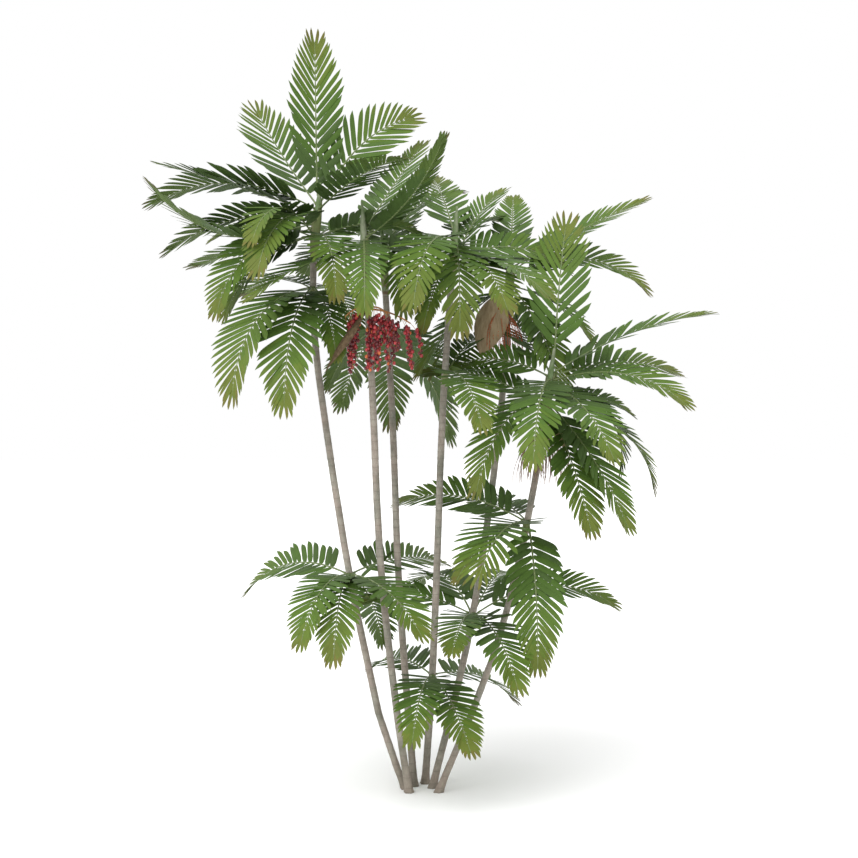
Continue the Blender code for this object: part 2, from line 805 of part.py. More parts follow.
def flower_pieces(stations):
    """A broad dry bract with bare flower strands under it."""
    first, fork = stalk(stations, 235.0, FLOWER_HEIGHT,
                        ((-0.03, -0.07, 0.01), (-0.065, -0.20, 0.02),
                         (-0.075, -0.22, 0.02)), [0.016, 0.013, 0.013, 0.010])
    pieces = [first]
    top = fork + Vector((0.000, 0.010, 0.13))
    low = fork + Vector((-0.16, -0.03, -0.40))
    line = arc(top, low, 0.01, 5)
    pieces.append(tube(line, [0.020, 0.100, 0.145, 0.135, 0.085, 0.018], 8, 0.18))
    for s in range(7):
        t = s / 6
        lean = (-0.10 + 0.30 * t, -0.05 + 0.04 * (s % 2))
        length = 0.36 + 0.07 * ((s * 3) % 4) / 3
        pieces.append(hanging_string(fork + Vector((0.004 * (t - 0.5), -0.004, 0.0)),
                                     length, lean, 0, 0.0, 0.0055))
    return pieces


def dry_pieces(stations):
    """A spent fruit stalk of bare strings."""
    first, fork = stalk(stations, 262.0, DRY_HEIGHT,
                        ((-0.006, -0.04, 0.008), (-0.012, -0.08, 0.0),
                         (-0.012, -0.10, -0.01)), [0.014, 0.011, 0.010, 0.008])
    pieces = [first]
    for s in range(9):
        t = s / 8
        lean = (-0.20 + 0.42 * t, -0.07 + 0.05 * (s % 3))
        length = 0.30 + 0.12 * ((s * 5) % 4) / 3
        pieces.append(hanging_string(fork + Vector((0.003 * (t - 0.5), -0.003, 0.0)),
                                     length, lean, 0, 0.0, 0.0050))
    return pieces


# ------------------------------------------------------------------ main
def build_palm():
    """Build every solid of the clump."""
    for obj in list(bpy.data.objects):
        bpy.data.objects.remove(obj, do_unlink=True)
    palm = bpy.data.collections.new("macarthur_palm")
    cutters = bpy.data.collections.new("cutters")
    bpy.context.scene.collection.children.link(palm)
    bpy.context.scene.collection.children.link(cutters)

    all_stations = [stem_stations(stem) for stem in STEMS]
    stem_trees = []
    for stem, stations in zip(STEMS, all_stations):
        bm = stem_mesh(stations)
        stem_trees.append(mesh_tree(bm))
        add_object(stem.name, bm, palm, STEM_GREY, 0.8, smooth=True)

    bunches = (
        ("fruit_bunch", fruit_pieces(all_stations[1]), BERRY_RED, 0.4),
        ("flower_bunch", flower_pieces(all_stations[4]), STRAND_TAN, 0.8),
        ("dry_bunch", dry_pieces(all_stations[5]), DRY_BROWN, 0.9),
    )
    fixed_trees = []
    for name, pieces, colour, roughness in bunches:
        obj = join_solids(name, pieces, palm, cutters, colour, roughness, "EXACT")
        bm = bmesh.new()
        bm.from_mesh(obj.data)
        fixed_trees.append(mesh_tree(bm))
        bm.free()

    plans = plan_fronds(all_stations)
    dress_fronds(plans, stem_trees, fixed_trees)

    done = set()
    for plan in plans:
        node = plan["node"]
        if node in done:
            continue
        done.add(node)
        crown = plan["crown"]
        if not crown.groups:
            add_object(node, plan["bm"], palm, LEAF_GREEN, 0.55)
            continue
        mates = [other for other in plans if other["node"] == node]
        stations = all_stations[crown.stem]
        turns = [mate["rib"].frond.azimuth for mate in mates]
        low, high = arc_span(turns)
        sheath = sheath_mesh(stations, low - 20.0, high + 20.0, crown.height)
        pieces = [sheath] + [mate["bm"] for mate in mates]
        join_solids(node, pieces, palm, cutters, LEAF_GREEN, 0.55, "EXACT")


def arc_span(turns):
    """The shortest arc, in degrees, that holds every azimuth."""
    ordered = sorted(turn % 360.0 for turn in turns)
    best = None
    for i in range(len(ordered)):
        low = ordered[i]
        high = ordered[i - 1] if i > 0 else ordered[-1]
        if high < low:
            high += 360.0
        if best is None or high - low < best[1] - best[0]:
            best = (low, high)
    return best


build_palm()
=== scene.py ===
"""Looks of a macarthur palm: bark, crownshafts, feather fronds and fruit.

The clump grows here by the same rule as its solids, carried to finer forms:
every frond gets its rib, its clasping base and some forty leaflets, every
stem its ring scars, and the bunches their strings, drupes and bracts.  Metres,
+Z up, with the origin in the middle of the main stem's flat cut.
"""

import sys
import logging
import random
from bisect import bisect_left
from dataclasses import dataclass
from enum import Enum
from math import cos, pi, radians, sin, sqrt, tan, tau
from typing import Sequence

import bmesh
import bpy
import numpy as np
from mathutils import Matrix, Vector


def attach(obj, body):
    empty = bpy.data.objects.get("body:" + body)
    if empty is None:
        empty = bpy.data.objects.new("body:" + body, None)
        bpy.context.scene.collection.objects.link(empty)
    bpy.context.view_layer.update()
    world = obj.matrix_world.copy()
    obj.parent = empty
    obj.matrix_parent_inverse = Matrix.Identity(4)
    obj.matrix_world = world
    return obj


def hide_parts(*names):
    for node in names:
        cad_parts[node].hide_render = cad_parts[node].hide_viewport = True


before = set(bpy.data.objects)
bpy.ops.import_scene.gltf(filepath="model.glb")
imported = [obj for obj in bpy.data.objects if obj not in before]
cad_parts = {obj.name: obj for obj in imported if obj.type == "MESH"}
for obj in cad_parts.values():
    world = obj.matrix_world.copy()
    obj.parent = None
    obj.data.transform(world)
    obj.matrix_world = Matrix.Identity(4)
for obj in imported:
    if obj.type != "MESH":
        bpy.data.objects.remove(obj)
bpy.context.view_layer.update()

Array = np.ndarray
Material = bpy.types.Material
Socket = bpy.types.NodeSocket
LOG = logging.getLogger("palm")
BODY = "root"

# --- the clump's growing rule
GAP = 0.0004  # air between a stem and what it carries
STEM_SIDES = 8  # of the solid stems
STEM_LOW_RADIUS = 0.031  # just above the root flare
STEM_HIGH_RADIUS = 0.027  # under the crownshaft
FLARE_SWELL = 0.012  # extra radius at the ground
FLARE_HEIGHT = 0.06
SHAFT_LENGTH = 0.6  # the sheaths wrapped round the stem's top
SHAFT_SWELL = 0.007
SPEAR_RADIUS = 0.009
STEM_STEP = 0.45  # height between a solid stem's rings

FROND_LENGTH = 1.3
FROND_DROOP = 50.0  # degrees a rib bends down from foot to tip
BEND_POWER = 1.3  # how far out the bend gathers
FOOT_LIFT = 50.0  # steepest lift of a frond at its foot
FOOT_RUN = 0.1  # share of the rib that eases off that lift
RIB_STEPS = 40
PETIOLE_END = 0.1  # share of the length before the first leaflet
BLADE_END = 0.9  # where the end pair starts
LEAFLET_LENGTH = 0.31
LOW_SPREAD = 62.0  # degrees off the rib of an arching frond's first leaflets
STEEP_SPREAD = 16.0  # by how much those of a steep frond stand closer
TIP_SPREAD = 23.0
PITCH_EASE = 0.25  # how much closer the last leaflets stand
FOOT_HEIGHT = 0.028
FOOT_TURN = 68.0  # degrees between feet at one height
SIZE_SHARES = (0.0, 0.35 * PETIOLE_END, PETIOLE_END, BLADE_END)
RIB_WIDTHS = (0.034, 0.018, 0.018, 0.007)  # at those shares of a rib
RIB_HEIGHTS = (FOOT_HEIGHT, 0.015, 0.015, 0.006)
SKIN_FIT = 0.97  # a round skin's radius to that of an eight-sided solid
STRING_POINTS = 10  # along a hanging string


@dataclass(frozen=True)
class Stem:
    """A stem by the points its middle passes, foot first."""

    name: str
    way: tuple


@dataclass(frozen=True)
class Frond:
    """A frond by the way it points and bends, in degrees and metres."""

    azimuth: float
    lift: float
    droop: float = FROND_DROOP
    length: float = FROND_LENGTH
    twist: float = 0.0
    leaflet: float = LEAFLET_LENGTH


@dataclass(frozen=True)
class Crown:
    """Fronds that leave one stem about one height.

    groups gives the number of fronds fused in each node, or nothing where
    each frond is a node of its own.
    """

    name: str
    stem: int
    height: float
    fronds: tuple
    groups: tuple = ()


STEMS = (
    Stem("stem_1", ((0.0, 0.0, 0.0), (-0.18, -0.01, 0.47), (-0.36, -0.03, 1.28),
                    (-0.46, -0.04, 1.77), (-0.68, -0.07, 3.2),
                    (-0.76, -0.08, 4.0), (-0.69, -0.1, 4.95))),
    Stem("stem_2", ((0.03, -0.11, 0.0), (-0.08, -0.15, 0.76), (-0.2, -0.2, 1.9),
                    (-0.26, -0.28, 3.26), (-0.34, -0.35, 4.75))),
    Stem("stem_3", ((0.07, 0.09, 0.0), (-0.02, 0.18, 1.1), (-0.07, 0.24, 1.85),
                    (-0.11, 0.3, 2.94), (-0.21, 0.4, 4.7))),
    Stem("stem_4", ((0.16, 0.17, 0.0), (0.22, 0.1, 0.9), (0.26, 0.03, 1.87),
                    (0.31, -0.05, 3.2), (0.42, -0.15, 4.75))),
    Stem("stem_5", ((0.22, 0.03, 0.0), (0.48, 0.13, 1.02), (0.66, 0.22, 2.02),
                    (0.82, 0.33, 3.3), (0.9, 0.44, 4.58))),
    Stem("stem_6", ((0.27, -0.1, 0.0), (0.67, -0.13, 0.98), (0.89, -0.16, 1.74),
                    (1.07, -0.18, 2.66), (1.2, -0.21, 3.6))),
)

CROWNS = (
    Crown("crown_1", 0, 4.74, (
        Frond(112, 87, 0, 1.35, leaflet=0.38), Frond(132, 43, -10, 1.3, twist=-15, leaflet=0.45),
        Frond(35, 62, 50, twist=60, leaflet=0.38), Frond(175, 20, 5, 1.4), Frond(180, 28, 65, 1.45, twist=15),
        Frond(200, -20, -78, 1.5), Frond(190, 5, 50, twist=15), Frond(204, -14, 72, 1.22, twist=-35),
        Frond(250, 5, 80), Frond(305, 20, 25),
    )),
    Crown("heart_1", 0, 4.52, (
        Frond(70, 26), Frond(150, -4, 10), Frond(285, 0, 85, 1.15), Frond(333, 16, 55, 1.1, twist=-15),
        Frond(246, 34, 108, 1.15), Frond(166, 24, 60, 0.95, twist=-30), Frond(192, -20, 60, 1.05, twist=-30),
        Frond(32, 25, 40, 0.95, twist=35),
    ), (8,)),
    Crown("skirt_1", 0, 4.1, (
        Frond(237, -10, 83, 1.5), Frond(261, -17, 78, 1.48), Frond(292, -22, 60, 0.9), Frond(75, 15, 75),
        Frond(125, 20, 45),
    ), (3, 2)),
    Crown("crown_2", 1, 4.5, (
        Frond(273, -4, 90, 1.08), Frond(315, 20, -45, 1.18, leaflet=0.22), Frond(60, 45, 5),
        Frond(12, 36, -30, 0.9),
    )),
    Crown("heart_2", 1, 4.36, (
        Frond(225, -10, 30, 1.25), Frond(118, 22, 60), Frond(25, 17, 45, 1.1, twist=30),
    ), (3,)),
    Crown("crown_3", 2, 4.45, (
        Frond(282, 15, 120), Frond(52, 50, 50), Frond(80, 30, 10),
    )),
    Crown("skirt_3", 2, 3.85, (
        Frond(116, -15, 50), Frond(90, -20, 60, 1.35), Frond(62, -15, 45), Frond(35, -42, 40, 1.25),
        Frond(142, -20, 50, 0.9),
    ), (5,)),
    Crown("crown_4", 3, 4.5, (
        Frond(254, 4, 80, 1.45), Frond(272, 0, 110), Frond(290, -10, 45), Frond(72, 25, 25), Frond(100, 40, 20),
    )),
    Crown("heart_4", 3, 4.36, (
        Frond(305, -6, 35), Frond(22, 20, 60, 1.1, twist=45), Frond(48, 60, 35, 0.9, leaflet=0.4),
        Frond(238, -44, 30, 0.8),
    ), (4,)),
    Crown("crown_5", 4, 4.32, (
        Frond(85, 45, 15, 1.2, leaflet=0.29), Frond(0, 30, 8, twist=25), Frond(5, 26, 80, twist=35),
        Frond(45, 27, 5), Frond(140, 15, 60),
    )),
    Crown("skirt_5", 4, 4.16, (
        Frond(208, -26, 40, 1.2), Frond(305, -42, 35, 1.25), Frond(326, -15, 45, 0.95),
        Frond(190, -34, 40, 1.05),
    ), (4,)),
    Crown("crown_6", 5, 3.39, (
        Frond(68, 80, 15, 1.28, twist=20, leaflet=0.43), Frond(110, 35, 10), Frond(0, 32, 28, 1.4, twist=12),
        Frond(25, 18, 40, twist=32), Frond(328, 14, 60, 1.25, twist=20), Frond(290, -12, 40),
        Frond(5, -12, 100, 1.05), Frond(258, -5, 70), Frond(225, -20, 60, 1.25),
        Frond(152, 27, 60, 1.05, twist=-40),
    )),
    Crown("skirt_6", 5, 3.15, (
        Frond(292, -46, 20, 1.26), Frond(313, -40, 25, 1.3), Frond(347, -5, 85, 1.2),
        Frond(164, 33, 45, 1.1, twist=-30), Frond(24, 18, 60, 0.85, twist=30),
    ), (5,)),
    Crown("whorl_1", 0, 1.77, (
        Frond(50, 14, 37, twist=25), Frond(75, -20, 45, 1.25), Frond(141, 15, 66, 1.32, twist=-35),
        Frond(251, 4, 72, 1.14), Frond(266, -1, 75, 1.18), Frond(300, 0, 42),
    ), (6,)),
    Crown("whorl_6", 5, 2.21, (
        Frond(147, 25, 50, 1.34, twist=-32), Frond(110, 20, 40, 1.2), Frond(246, 4, 55, 1.15, leaflet=0.48),
        Frond(220, -10, 50, 0.9), Frond(275, -45, 55),
    ), (5,)),
    Crown("whorl_5", 4, 1.42, (
        Frond(115, 40, 90), Frond(70, 30), Frond(5, 33, 75, twist=30), Frond(165, 25, 60, 1.1, twist=-20),
        Frond(285, 0, 50), Frond(260, 8, 40, 1.15),
    ), (6,)),
    Crown("whorl_4", 3, 0.92, (
        Frond(118, 12, 45, 1.2, twist=-20), Frond(52, -2, 42, 1.3, twist=20), Frond(262, 8, 60, 1.2),
        Frond(285, -8, 30, 1.2),
    ), (4,)),
    Crown("mid_4", 3, 3.42, (
        Frond(283, 0, 55), Frond(55, 46, 55, 0.95),
    ), (2,)),
)


# --- shader helpers
class Value:
    """A shader number that takes part in sums."""

    def __init__(self, net: "Net", socket: Socket) -> None:
        """Keep the net and the socket that the number leaves by."""
        self.net = net
        self.socket = socket

    def joined(self, operation: str, *numbers: "Value | float") -> "Value":
        """The result of a Math node on those numbers."""
        return Value(self.net, self.net.node("Math", {"operation": operation}, dict(enumerate(numbers))))

    def __add__(self, other: "Value | float") -> "Value":
        """This number plus another."""
        return self.joined("ADD", self, other)

    def __radd__(self, other: float) -> "Value":
        """Another number plus this one."""
        return self.joined("ADD", other, self)

    def __mul__(self, other: "Value | float") -> "Value":
        """This number times another."""
        return self.joined("MULTIPLY", self, other)

    def __rmul__(self, other: float) -> "Value":
        """Another number times this one."""
        return self.joined("MULTIPLY", other, self)

    def wave(self) -> "Value":
        """The sine of this number, brought to 0 to 1."""
        return self.joined("SINE", self) * 0.5 + 0.5

    def held(self, low: float, high: float) -> "Value":
        """This number's share of the way from low to high, kept to 0 to 1."""
        return Value(self.net, self.net.node("MapRange", {"clamp": True}, {0: self, 1: low, 2: high}))


Fed = Value | Socket | float | tuple
Colour = tuple[int, int, int]


def paint(colour: Colour, strength: float = 1.0) -> tuple[float, float, float, float]:
    """A screen colour as the shader's light values.

    Args:
        colour: Red, green and blue, from 0 to 255.
        strength: A factor on the light.

    Returns:
        Red, green, blue and an alpha of 1.
    """
    light = []
    for part in colour:
        share = part / 255.0
        share = share / 12.92 if share <= 0.04045 else ((share + 0.055) / 1.055) ** 2.4
        light.append(min(1.0, share * strength))
    return (*light, 1.0)


class Net:
    """One material and its nodes."""

    def __init__(self, name: str) -> None:
        """Start a Principled material of that name."""
        self.material = bpy.data.materials.new(name)
        self.material.use_nodes = True
        self.tree = self.material.node_tree
        self.shader = self.tree.nodes["Principled BSDF"]

    def node(self, kind: str, settings: dict, inputs: dict, output: int | str = 0) -> Socket:
        """Add a node.

        Args:
            kind: The node's type, less its prefix.
            settings: Its own settings, which are set first.
            inputs: What goes into its sockets, by name or number.
            output: The socket that is wanted, by name or number.

        Returns:
            That socket.
        """
        made = self.tree.nodes.new(f"ShaderNode{kind}")
        for key, value in settings.items():
            setattr(made, key, value)
        for key, value in inputs.items():
            self.feed(made.inputs[key], value)
        return made.outputs[output]

    def feed(self, socket: Socket, value: Fed) -> None:
        """Link or set one socket.

        Args:
            socket: The socket.
            value: A number, a screen colour's three, a light's four, or what another node gives.
        """
        if isinstance(value, Value):
            value = value.socket
        if isinstance(value, Socket):
            self.tree.links.new(value, socket)
        elif socket.type == "RGBA" and len(value) == 3:
            socket.default_value = paint(value)
        else:
            socket.default_value = value

    def dress(self, **inputs: Fed) -> None:
        """Feed the shader's sockets, with _ for a space in their names."""
        for key, value in inputs.items():
            self.feed(self.shader.inputs[key.replace("_", " ")], value)

    def place(self, x: float = 1.0, y: float = 1.0, z: float = 1.0) -> Socket:
        """Object coordinates, stretched."""
        source = self.node("TexCoord", {}, {}, "Object")
        return self.node("Mapping", {}, {"Vector": source, "Scale": (x, y, z)})

    def on_leaf(self, x: float, y: float, z: float) -> Socket:
        """The leaf's own map, across and along, stretched."""
        source = self.node("UVMap", {"uv_map": "leaf"}, {})
        return self.node("Mapping", {}, {"Vector": source, "Scale": (x, y, z)})

    def noise(self, where: Socket, scale: float, detail: float = 3.0, rough: float = 0.55) -> Value:
        """A cloudy number from 0 to 1."""
        inputs = {"Vector": where, "Scale": scale, "Detail": detail, "Roughness": rough}
        return Value(self, self.node("TexNoise", {}, inputs))

    def mark(self, name: str) -> Value:
        """A number painted on the mesh's points."""
        return Value(self, self.node("Attribute", {"attribute_name": name}, {}, "Fac"))

    def mix(self, share: Fed, first: Fed, second: Fed) -> Socket:
        """Blend two colours."""
        return self.node("Mix", {"data_type": "RGBA"}, {0: share, 6: first, 7: second}, 2)

    def bump(self, height: Value, strength: float, distance: float) -> Socket:
        """A normal tilted by a height."""
        return self.node("Bump", {}, {"Strength": strength, "Distance": distance, "Height": height})


# --- finishes
class LeafTone(Enum):
    """The tints a leaflet may have, from the heart of a crown to an old tip."""

    SHADE = (72, 95, 46)
    DEEP = (76, 104, 40)
    GREEN = (84, 110, 39)
    FRESH = (91, 111, 40)
    LIME = (98, 110, 43)
    OLIVE = (104, 102, 46)
    BRONZE = (104, 89, 46)


class UndersideShadeTone(Enum):
    """The tints of a leaflet's underside: partly its own duller green, partly painted shade, set darker than most
    upper tints.
    """

    # painted shade: these underside tints are darker than the uppers they go with, to stand in for the shade under
    # the fronds
    UNDER_DEEP = (76, 99, 50)
    UNDER_FRESH = (82, 103, 46)
    UNDER_OLD = (90, 90, 50)


TONES = tuple(LeafTone)
SHADED_BACKS = tuple(UndersideShadeTone)


@dataclass(frozen=True)
class Finish:
    """A material by its name, which each kind of finish covers in its own way."""

    name: str

    def cover(self, net: Net) -> None:
        """Dress the shader.

        Args:
            net: The material's nodes.
        """
        raise NotImplementedError

    def build(self) -> Material:
        """Make the material.

        Returns:
            The material.
        """
        net = Net(self.name)
        self.cover(net)
        return net.material


@dataclass(frozen=True)
class LeafFinish(Finish):
    """A leaflet's skin: one tint, fine veins and a soft gloss."""

    tone: LeafTone | UndersideShadeTone
    gloss: float = 0.52
    veins: float = 46.0  # across a leaflet

    def cover(self, net: Net) -> None:
        """Dress the shader.

        Args:
            net: The material's nodes.
        """
        across = net.on_leaf(self.veins, 0.0, 0.0)
        vein = Value(net, net.node("SeparateXYZ", {}, {0: across})).wave()
        cloud = net.noise(net.place(), 7.0, 2.0)
        streak = net.noise(net.on_leaf(14.0, 1.2, 1.0), 3.0, 2.0)
        tint = self.tone.value
        colour = net.mix(cloud.held(0.3, 0.7), paint(tint, 0.72), tint)
        colour = net.mix(streak.held(0.42, 0.8), colour, paint(tint, 1.22))
        net.dress(Base_Color=colour, Roughness=self.gloss + 0.14 * cloud, Specular_IOR_Level=0.22,
                  Normal=net.bump(vein * 0.6 + streak * 0.8, 0.25, 0.0012))


@dataclass(frozen=True)
class RibFinish(Finish):
    """The rib and petiole: smooth green with fine long streaks."""

    top: Colour
    low: Colour

    def cover(self, net: Net) -> None:
        """Dress the shader.

        Args:
            net: The material's nodes.
        """
        streak = net.noise(net.place(30.0, 30.0, 4.0), 3.0, 3.0)
        net.dress(Base_Color=net.mix(streak.held(0.35, 0.68), self.low, self.top),
                  Roughness=0.42 + 0.15 * streak, Normal=net.bump(streak, 0.3, 0.001))


@dataclass(frozen=True)
class BarkFinish(Finish):
    """Grey bark with scars, warm patches and fine upright cracks."""

    greys: tuple = ((132, 131, 120), (158, 146, 136))
    pale: Colour = (176, 171, 158)
    dull: Colour = (112, 106, 92)
    crack: Colour = (92, 84, 74)
    soiled: Colour = (104, 92, 76)

    def cover(self, net: Net) -> None:
        """Dress the shader.

        Args:
            net: The material's nodes.
        """
        patch = net.noise(net.place(1.0, 1.0, 0.7), 5.0, 4.0, 0.6)
        blotch = net.noise(net.place(1.0, 1.0, 0.5), 17.0, 5.0, 0.65)
        crack = net.noise(net.place(60.0, 60.0, 9.0), 3.2, 5.0, 0.7)
        grain = net.noise(net.place(), 420.0, 2.0, 0.6)
        colour = net.mix(patch.held(0.38, 0.62), *self.greys)
        for share, tint in ((blotch.held(0.48, 0.7) * 0.75, self.pale),
                            (blotch.held(0.46, 0.3) * 0.6, self.dull),
                            (crack.held(0.52, 0.74) * 0.45, self.crack),
                            (net.mark("height").held(0.55, 0.0) * 0.4, self.soiled),
                            (net.mark("scar") * (0.2 + 0.35 * blotch), self.crack)):
            colour = net.mix(share, colour, tint)
        net.dress(Base_Color=colour, Roughness=0.74 + 0.18 * blotch, Specular_IOR_Level=0.25,
                  Normal=net.bump(crack * 0.7 + grain * 0.3 + blotch * 0.5, 0.55, 0.0035))


@dataclass(frozen=True)
class ShaftFinish(Finish):
    """The sheaths round a stem's top: green under a pale bloom."""

    green: Colour
    bloom: Colour
    edge: Colour

    def cover(self, net: Net) -> None:
        """Dress the shader.

        Args:
            net: The material's nodes.
        """
        fibre = net.noise(net.place(46.0, 46.0, 3.0), 3.4, 4.0, 0.6)
        cloud = net.noise(net.place(1.0, 1.0, 0.5), 11.0, 4.0, 0.6)
        colour = net.mix(cloud.held(0.4, 0.66), self.green, self.bloom)
        colour = net.mix(fibre.held(0.55, 0.8) * 0.5, colour, self.edge)
        colour = net.mix(net.mark("rim").held(0.35, 1.0), colour, self.edge)
        net.dress(Base_Color=colour, Roughness=0.5 + 0.25 * cloud, Specular_IOR_Level=0.3,
                  Normal=net.bump(fibre, 0.4, 0.002))


@dataclass(frozen=True)
class DrupeFinish(Finish):
    """A ripe or ripening drupe's skin."""

    skin: Colour
    blush: Colour

    def cover(self, net: Net) -> None:
        """Dress the shader.

        Args:
            net: The material's nodes.
        """
        cloud = net.noise(net.place(), 55.0, 3.0)
        net.dress(Base_Color=net.mix(cloud.held(0.38, 0.66), self.skin, self.blush),
                  Roughness=0.24 + 0.2 * cloud, Coat_Weight=0.25,
                  Normal=net.bump(net.noise(net.place(), 300.0, 2.0), 0.15, 0.0008))


@dataclass(frozen=True)
class FibreFinish(Finish):
    """Strings, bracts and dead sheaths: long fibres in two tints."""

    light: Colour
    dark: Colour
    rough: float = 0.72
    stretch: float = 26.0

    def cover(self, net: Net) -> None:
        """Dress the shader.

        Args:
            net: The material's nodes.
        """
        fibre = net.noise(net.place(self.stretch, self.stretch, 3.0), 3.0, 5.0, 0.65)
        cloud = net.noise(net.place(), 9.0, 3.0)
        colour = net.mix(fibre.held(0.34, 0.68), self.dark, self.light)
        colour = net.mix(cloud.held(0.55, 0.75) * 0.35, colour, self.dark)
        net.dress(Base_Color=colour, Roughness=self.rough + 0.15 * cloud, Specular_IOR_Level=0.3,
                  Normal=net.bump(fibre, 0.5, 0.002))


# --- mesh helpers
def show(name: str, data: bpy.types.ID) -> bpy.types.Object:
    """Put a mesh, a light or a camera into the scene."""
    made = bpy.data.objects.new(name, data)
    bpy.context.scene.collection.objects.link(made)
    return made


def only(items: list, kind: type) -> list:
    """Those of a bmesh operator's results that are of one kind."""
    return [item for item in items if isinstance(item, kind)]


class Pattern:
    """A small shape, modelled once, whose copies are laid out by rule.

    turned holds its faces as they read from behind, for a mirrored copy.  On a tube, ring
    counts each point's ring and turn is the way it lies off the middle.
    """

    def __init__(self, bm: bmesh.types.BMesh) -> None:
        """Take over a bmesh's points and faces.

        Args:
            bm: The bmesh, which is freed.
        """
        bm.verts.index_update()
        self.spots = np.array([tuple(vert.co) for vert in bm.verts])
        self.faces = [[vert.index for vert in face.verts] for face in bm.faces]
        self.turned = [face[:1] + face[:0:-1] for face in self.faces]
        self.ring = self.spots[:, 2].astype(int)
        self.turn = np.arctan2(self.spots[:, 1], self.spots[:, 0])
        bm.free()

    @classmethod
    def sheet(cls, columns: int, rows: int) -> "Pattern":
        """A flat sheet from -1 to 1 in x and 0 to 1 in y, at z = 1, with its underside at 0.

        Args:
            columns: Faces across.
            rows: Faces along.

        Returns:
            The pattern.
        """
        bm = bmesh.new()
        bmesh.ops.create_grid(bm, x_segments=columns, y_segments=rows, size=1.0)
        bmesh.ops.translate(bm, verts=bm.verts[:], vec=(0.0, 1.0, 1.0))
        bmesh.ops.scale(bm, verts=bm.verts[:], vec=(1.0, 0.5, 1.0))
        copied = bmesh.ops.duplicate(bm, geom=bm.faces[:])["geom"]
        bmesh.ops.translate(bm, verts=only(copied, bmesh.types.BMVert), vec=(0.0, 0.0, -1.0))
        bmesh.ops.reverse_faces(bm, faces=only(copied, bmesh.types.BMFace))
        return cls(bm)

    @classmethod
    def tube(cls, sides: int, rings: int) -> "Pattern":
        """A closed tube of radius 1, whose z counts its rings.

        Args:
            sides: Points in a ring.
            rings: How many rings.

        Returns:
            The pattern.
        """
        bm = bmesh.new()
        bmesh.ops.create_circle(bm, cap_ends=True, segments=sides, radius=1.0)
        edges = bm.edges[:]
        for _ in range(rings - 1):
            grown = bmesh.ops.extrude_edge_only(bm, edges=edges)["geom"]
            verts = only(grown, bmesh.types.BMVert)
            bmesh.ops.translate(bm, verts=verts, vec=(0.0, 0.0, 1.0))
            fresh = set(verts)
            edges = [edge for edge in only(grown, bmesh.types.BMEdge) if fresh.issuperset(edge.verts)]
        bmesh.ops.edgeloop_fill(bm, edges=edges)
        bmesh.ops.recalc_face_normals(bm, faces=bm.faces[:])
        return cls(bm)

    @classmethod
    def ball(cls, around: int, upward: int) -> "Pattern":
        """A ball of radius 1."""
        bm = bmesh.new()
        bmesh.ops.create_uvsphere(bm, u_segments=around, v_segments=upward, radius=1.0)
        return cls(bm)


class Gather:
    """Copies of patterns, joined into one mesh."""

    def __init__(self) -> None:
        """Start with nothing."""
        self.points: list[Array] = []
        self.faces: list[list[int]] = []
        self.tints: list[int] = []
        self.maps: list[Array] = []
        self.marks: dict[str, list[Array]] = {}
        self.count = 0

    def add(self, pattern: Pattern, places: Array, tints: int | list[int] = 0,
            flat: Array | None = None, mirrored: bool = False, **marks: Array) -> None:
        """Add a copy.

        Args:
            pattern: The shape.
            places: Where each of its points goes.
            tints: The material slot, for all faces or for each.
            flat: Each point's place on the leaf's own map.
            mirrored: Whether the places mirror the pattern, so that its faces are turned about.
            marks: Numbers painted on the points, by name.
        """
        self.points.append(places)
        faces = pattern.turned if mirrored else pattern.faces
        self.faces += [[self.count + corner for corner in face] for face in faces]
        self.tints += [tints] * len(pattern.faces) if isinstance(tints, int) else tints
        if flat is not None:
            self.maps.append(flat)
        for key, values in marks.items():
            self.marks.setdefault(key, []).append(values)
        self.count += len(places)

    def tube(self, pattern: Pattern, line: Array, radii: Array | float) -> None:
        """Add a round tube along a line.

        Args:
            pattern: A tube of as many rings as the line has points.
            line: The points of its middle.
            radii: Its radius, everywhere or at each point.
        """
        along = np.gradient(line, axis=0)
        along /= np.linalg.norm(along, axis=1)[:, None]
        aside = np.cross(along, (0.12, 1.0, 0.06))
        aside /= np.linalg.norm(aside, axis=1)[:, None]
        up = np.cross(along, aside)
        ring = pattern.ring
        radii = np.broadcast_to(radii, (len(line),))[ring, None]
        self.add(pattern, line[ring] + (aside[ring] * pattern.spots[:, :1]
                                        + up[ring] * pattern.spots[:, 1:2]) * radii)

    def piece(self, name: str, materials: Sequence[Material], nodes: Sequence[str], slot: str) -> None:
        """Make the joined mesh into a piece that rides on the palm's one body.

        Args:
            name: The piece's name.
            materials: Its material slots, in order.
            nodes: The solids it stands for.
            slot: The record's material slot; not used.
        """
        mesh = bpy.data.meshes.new(name)
        mesh.from_pydata(np.concatenate(self.points).tolist(), [], self.faces)
        mesh.polygons.foreach_set("material_index", self.tints)
        if self.maps:
            corners = np.zeros(len(mesh.loops), dtype=np.int32)
            mesh.loops.foreach_get("vertex_index", corners)
            skin = mesh.uv_layers.new(name="leaf")
            skin.data.foreach_set("uv", np.concatenate(self.maps)[corners].ravel())
        for key, values in self.marks.items():
            layer = mesh.attributes.new(key, "FLOAT", "POINT")
            layer.data.foreach_set("value", np.concatenate(values))
        mesh.shade_smooth()
        for material in materials:
            mesh.materials.append(material)
        piece = show(name, mesh)
        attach(piece, BODY)
        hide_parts(*nodes)
        triangles = len(mesh.loops) - 2 * len(mesh.polygons)
        LOG.info("%s: %d triangles in place of %s", name, triangles, ", ".join(nodes))


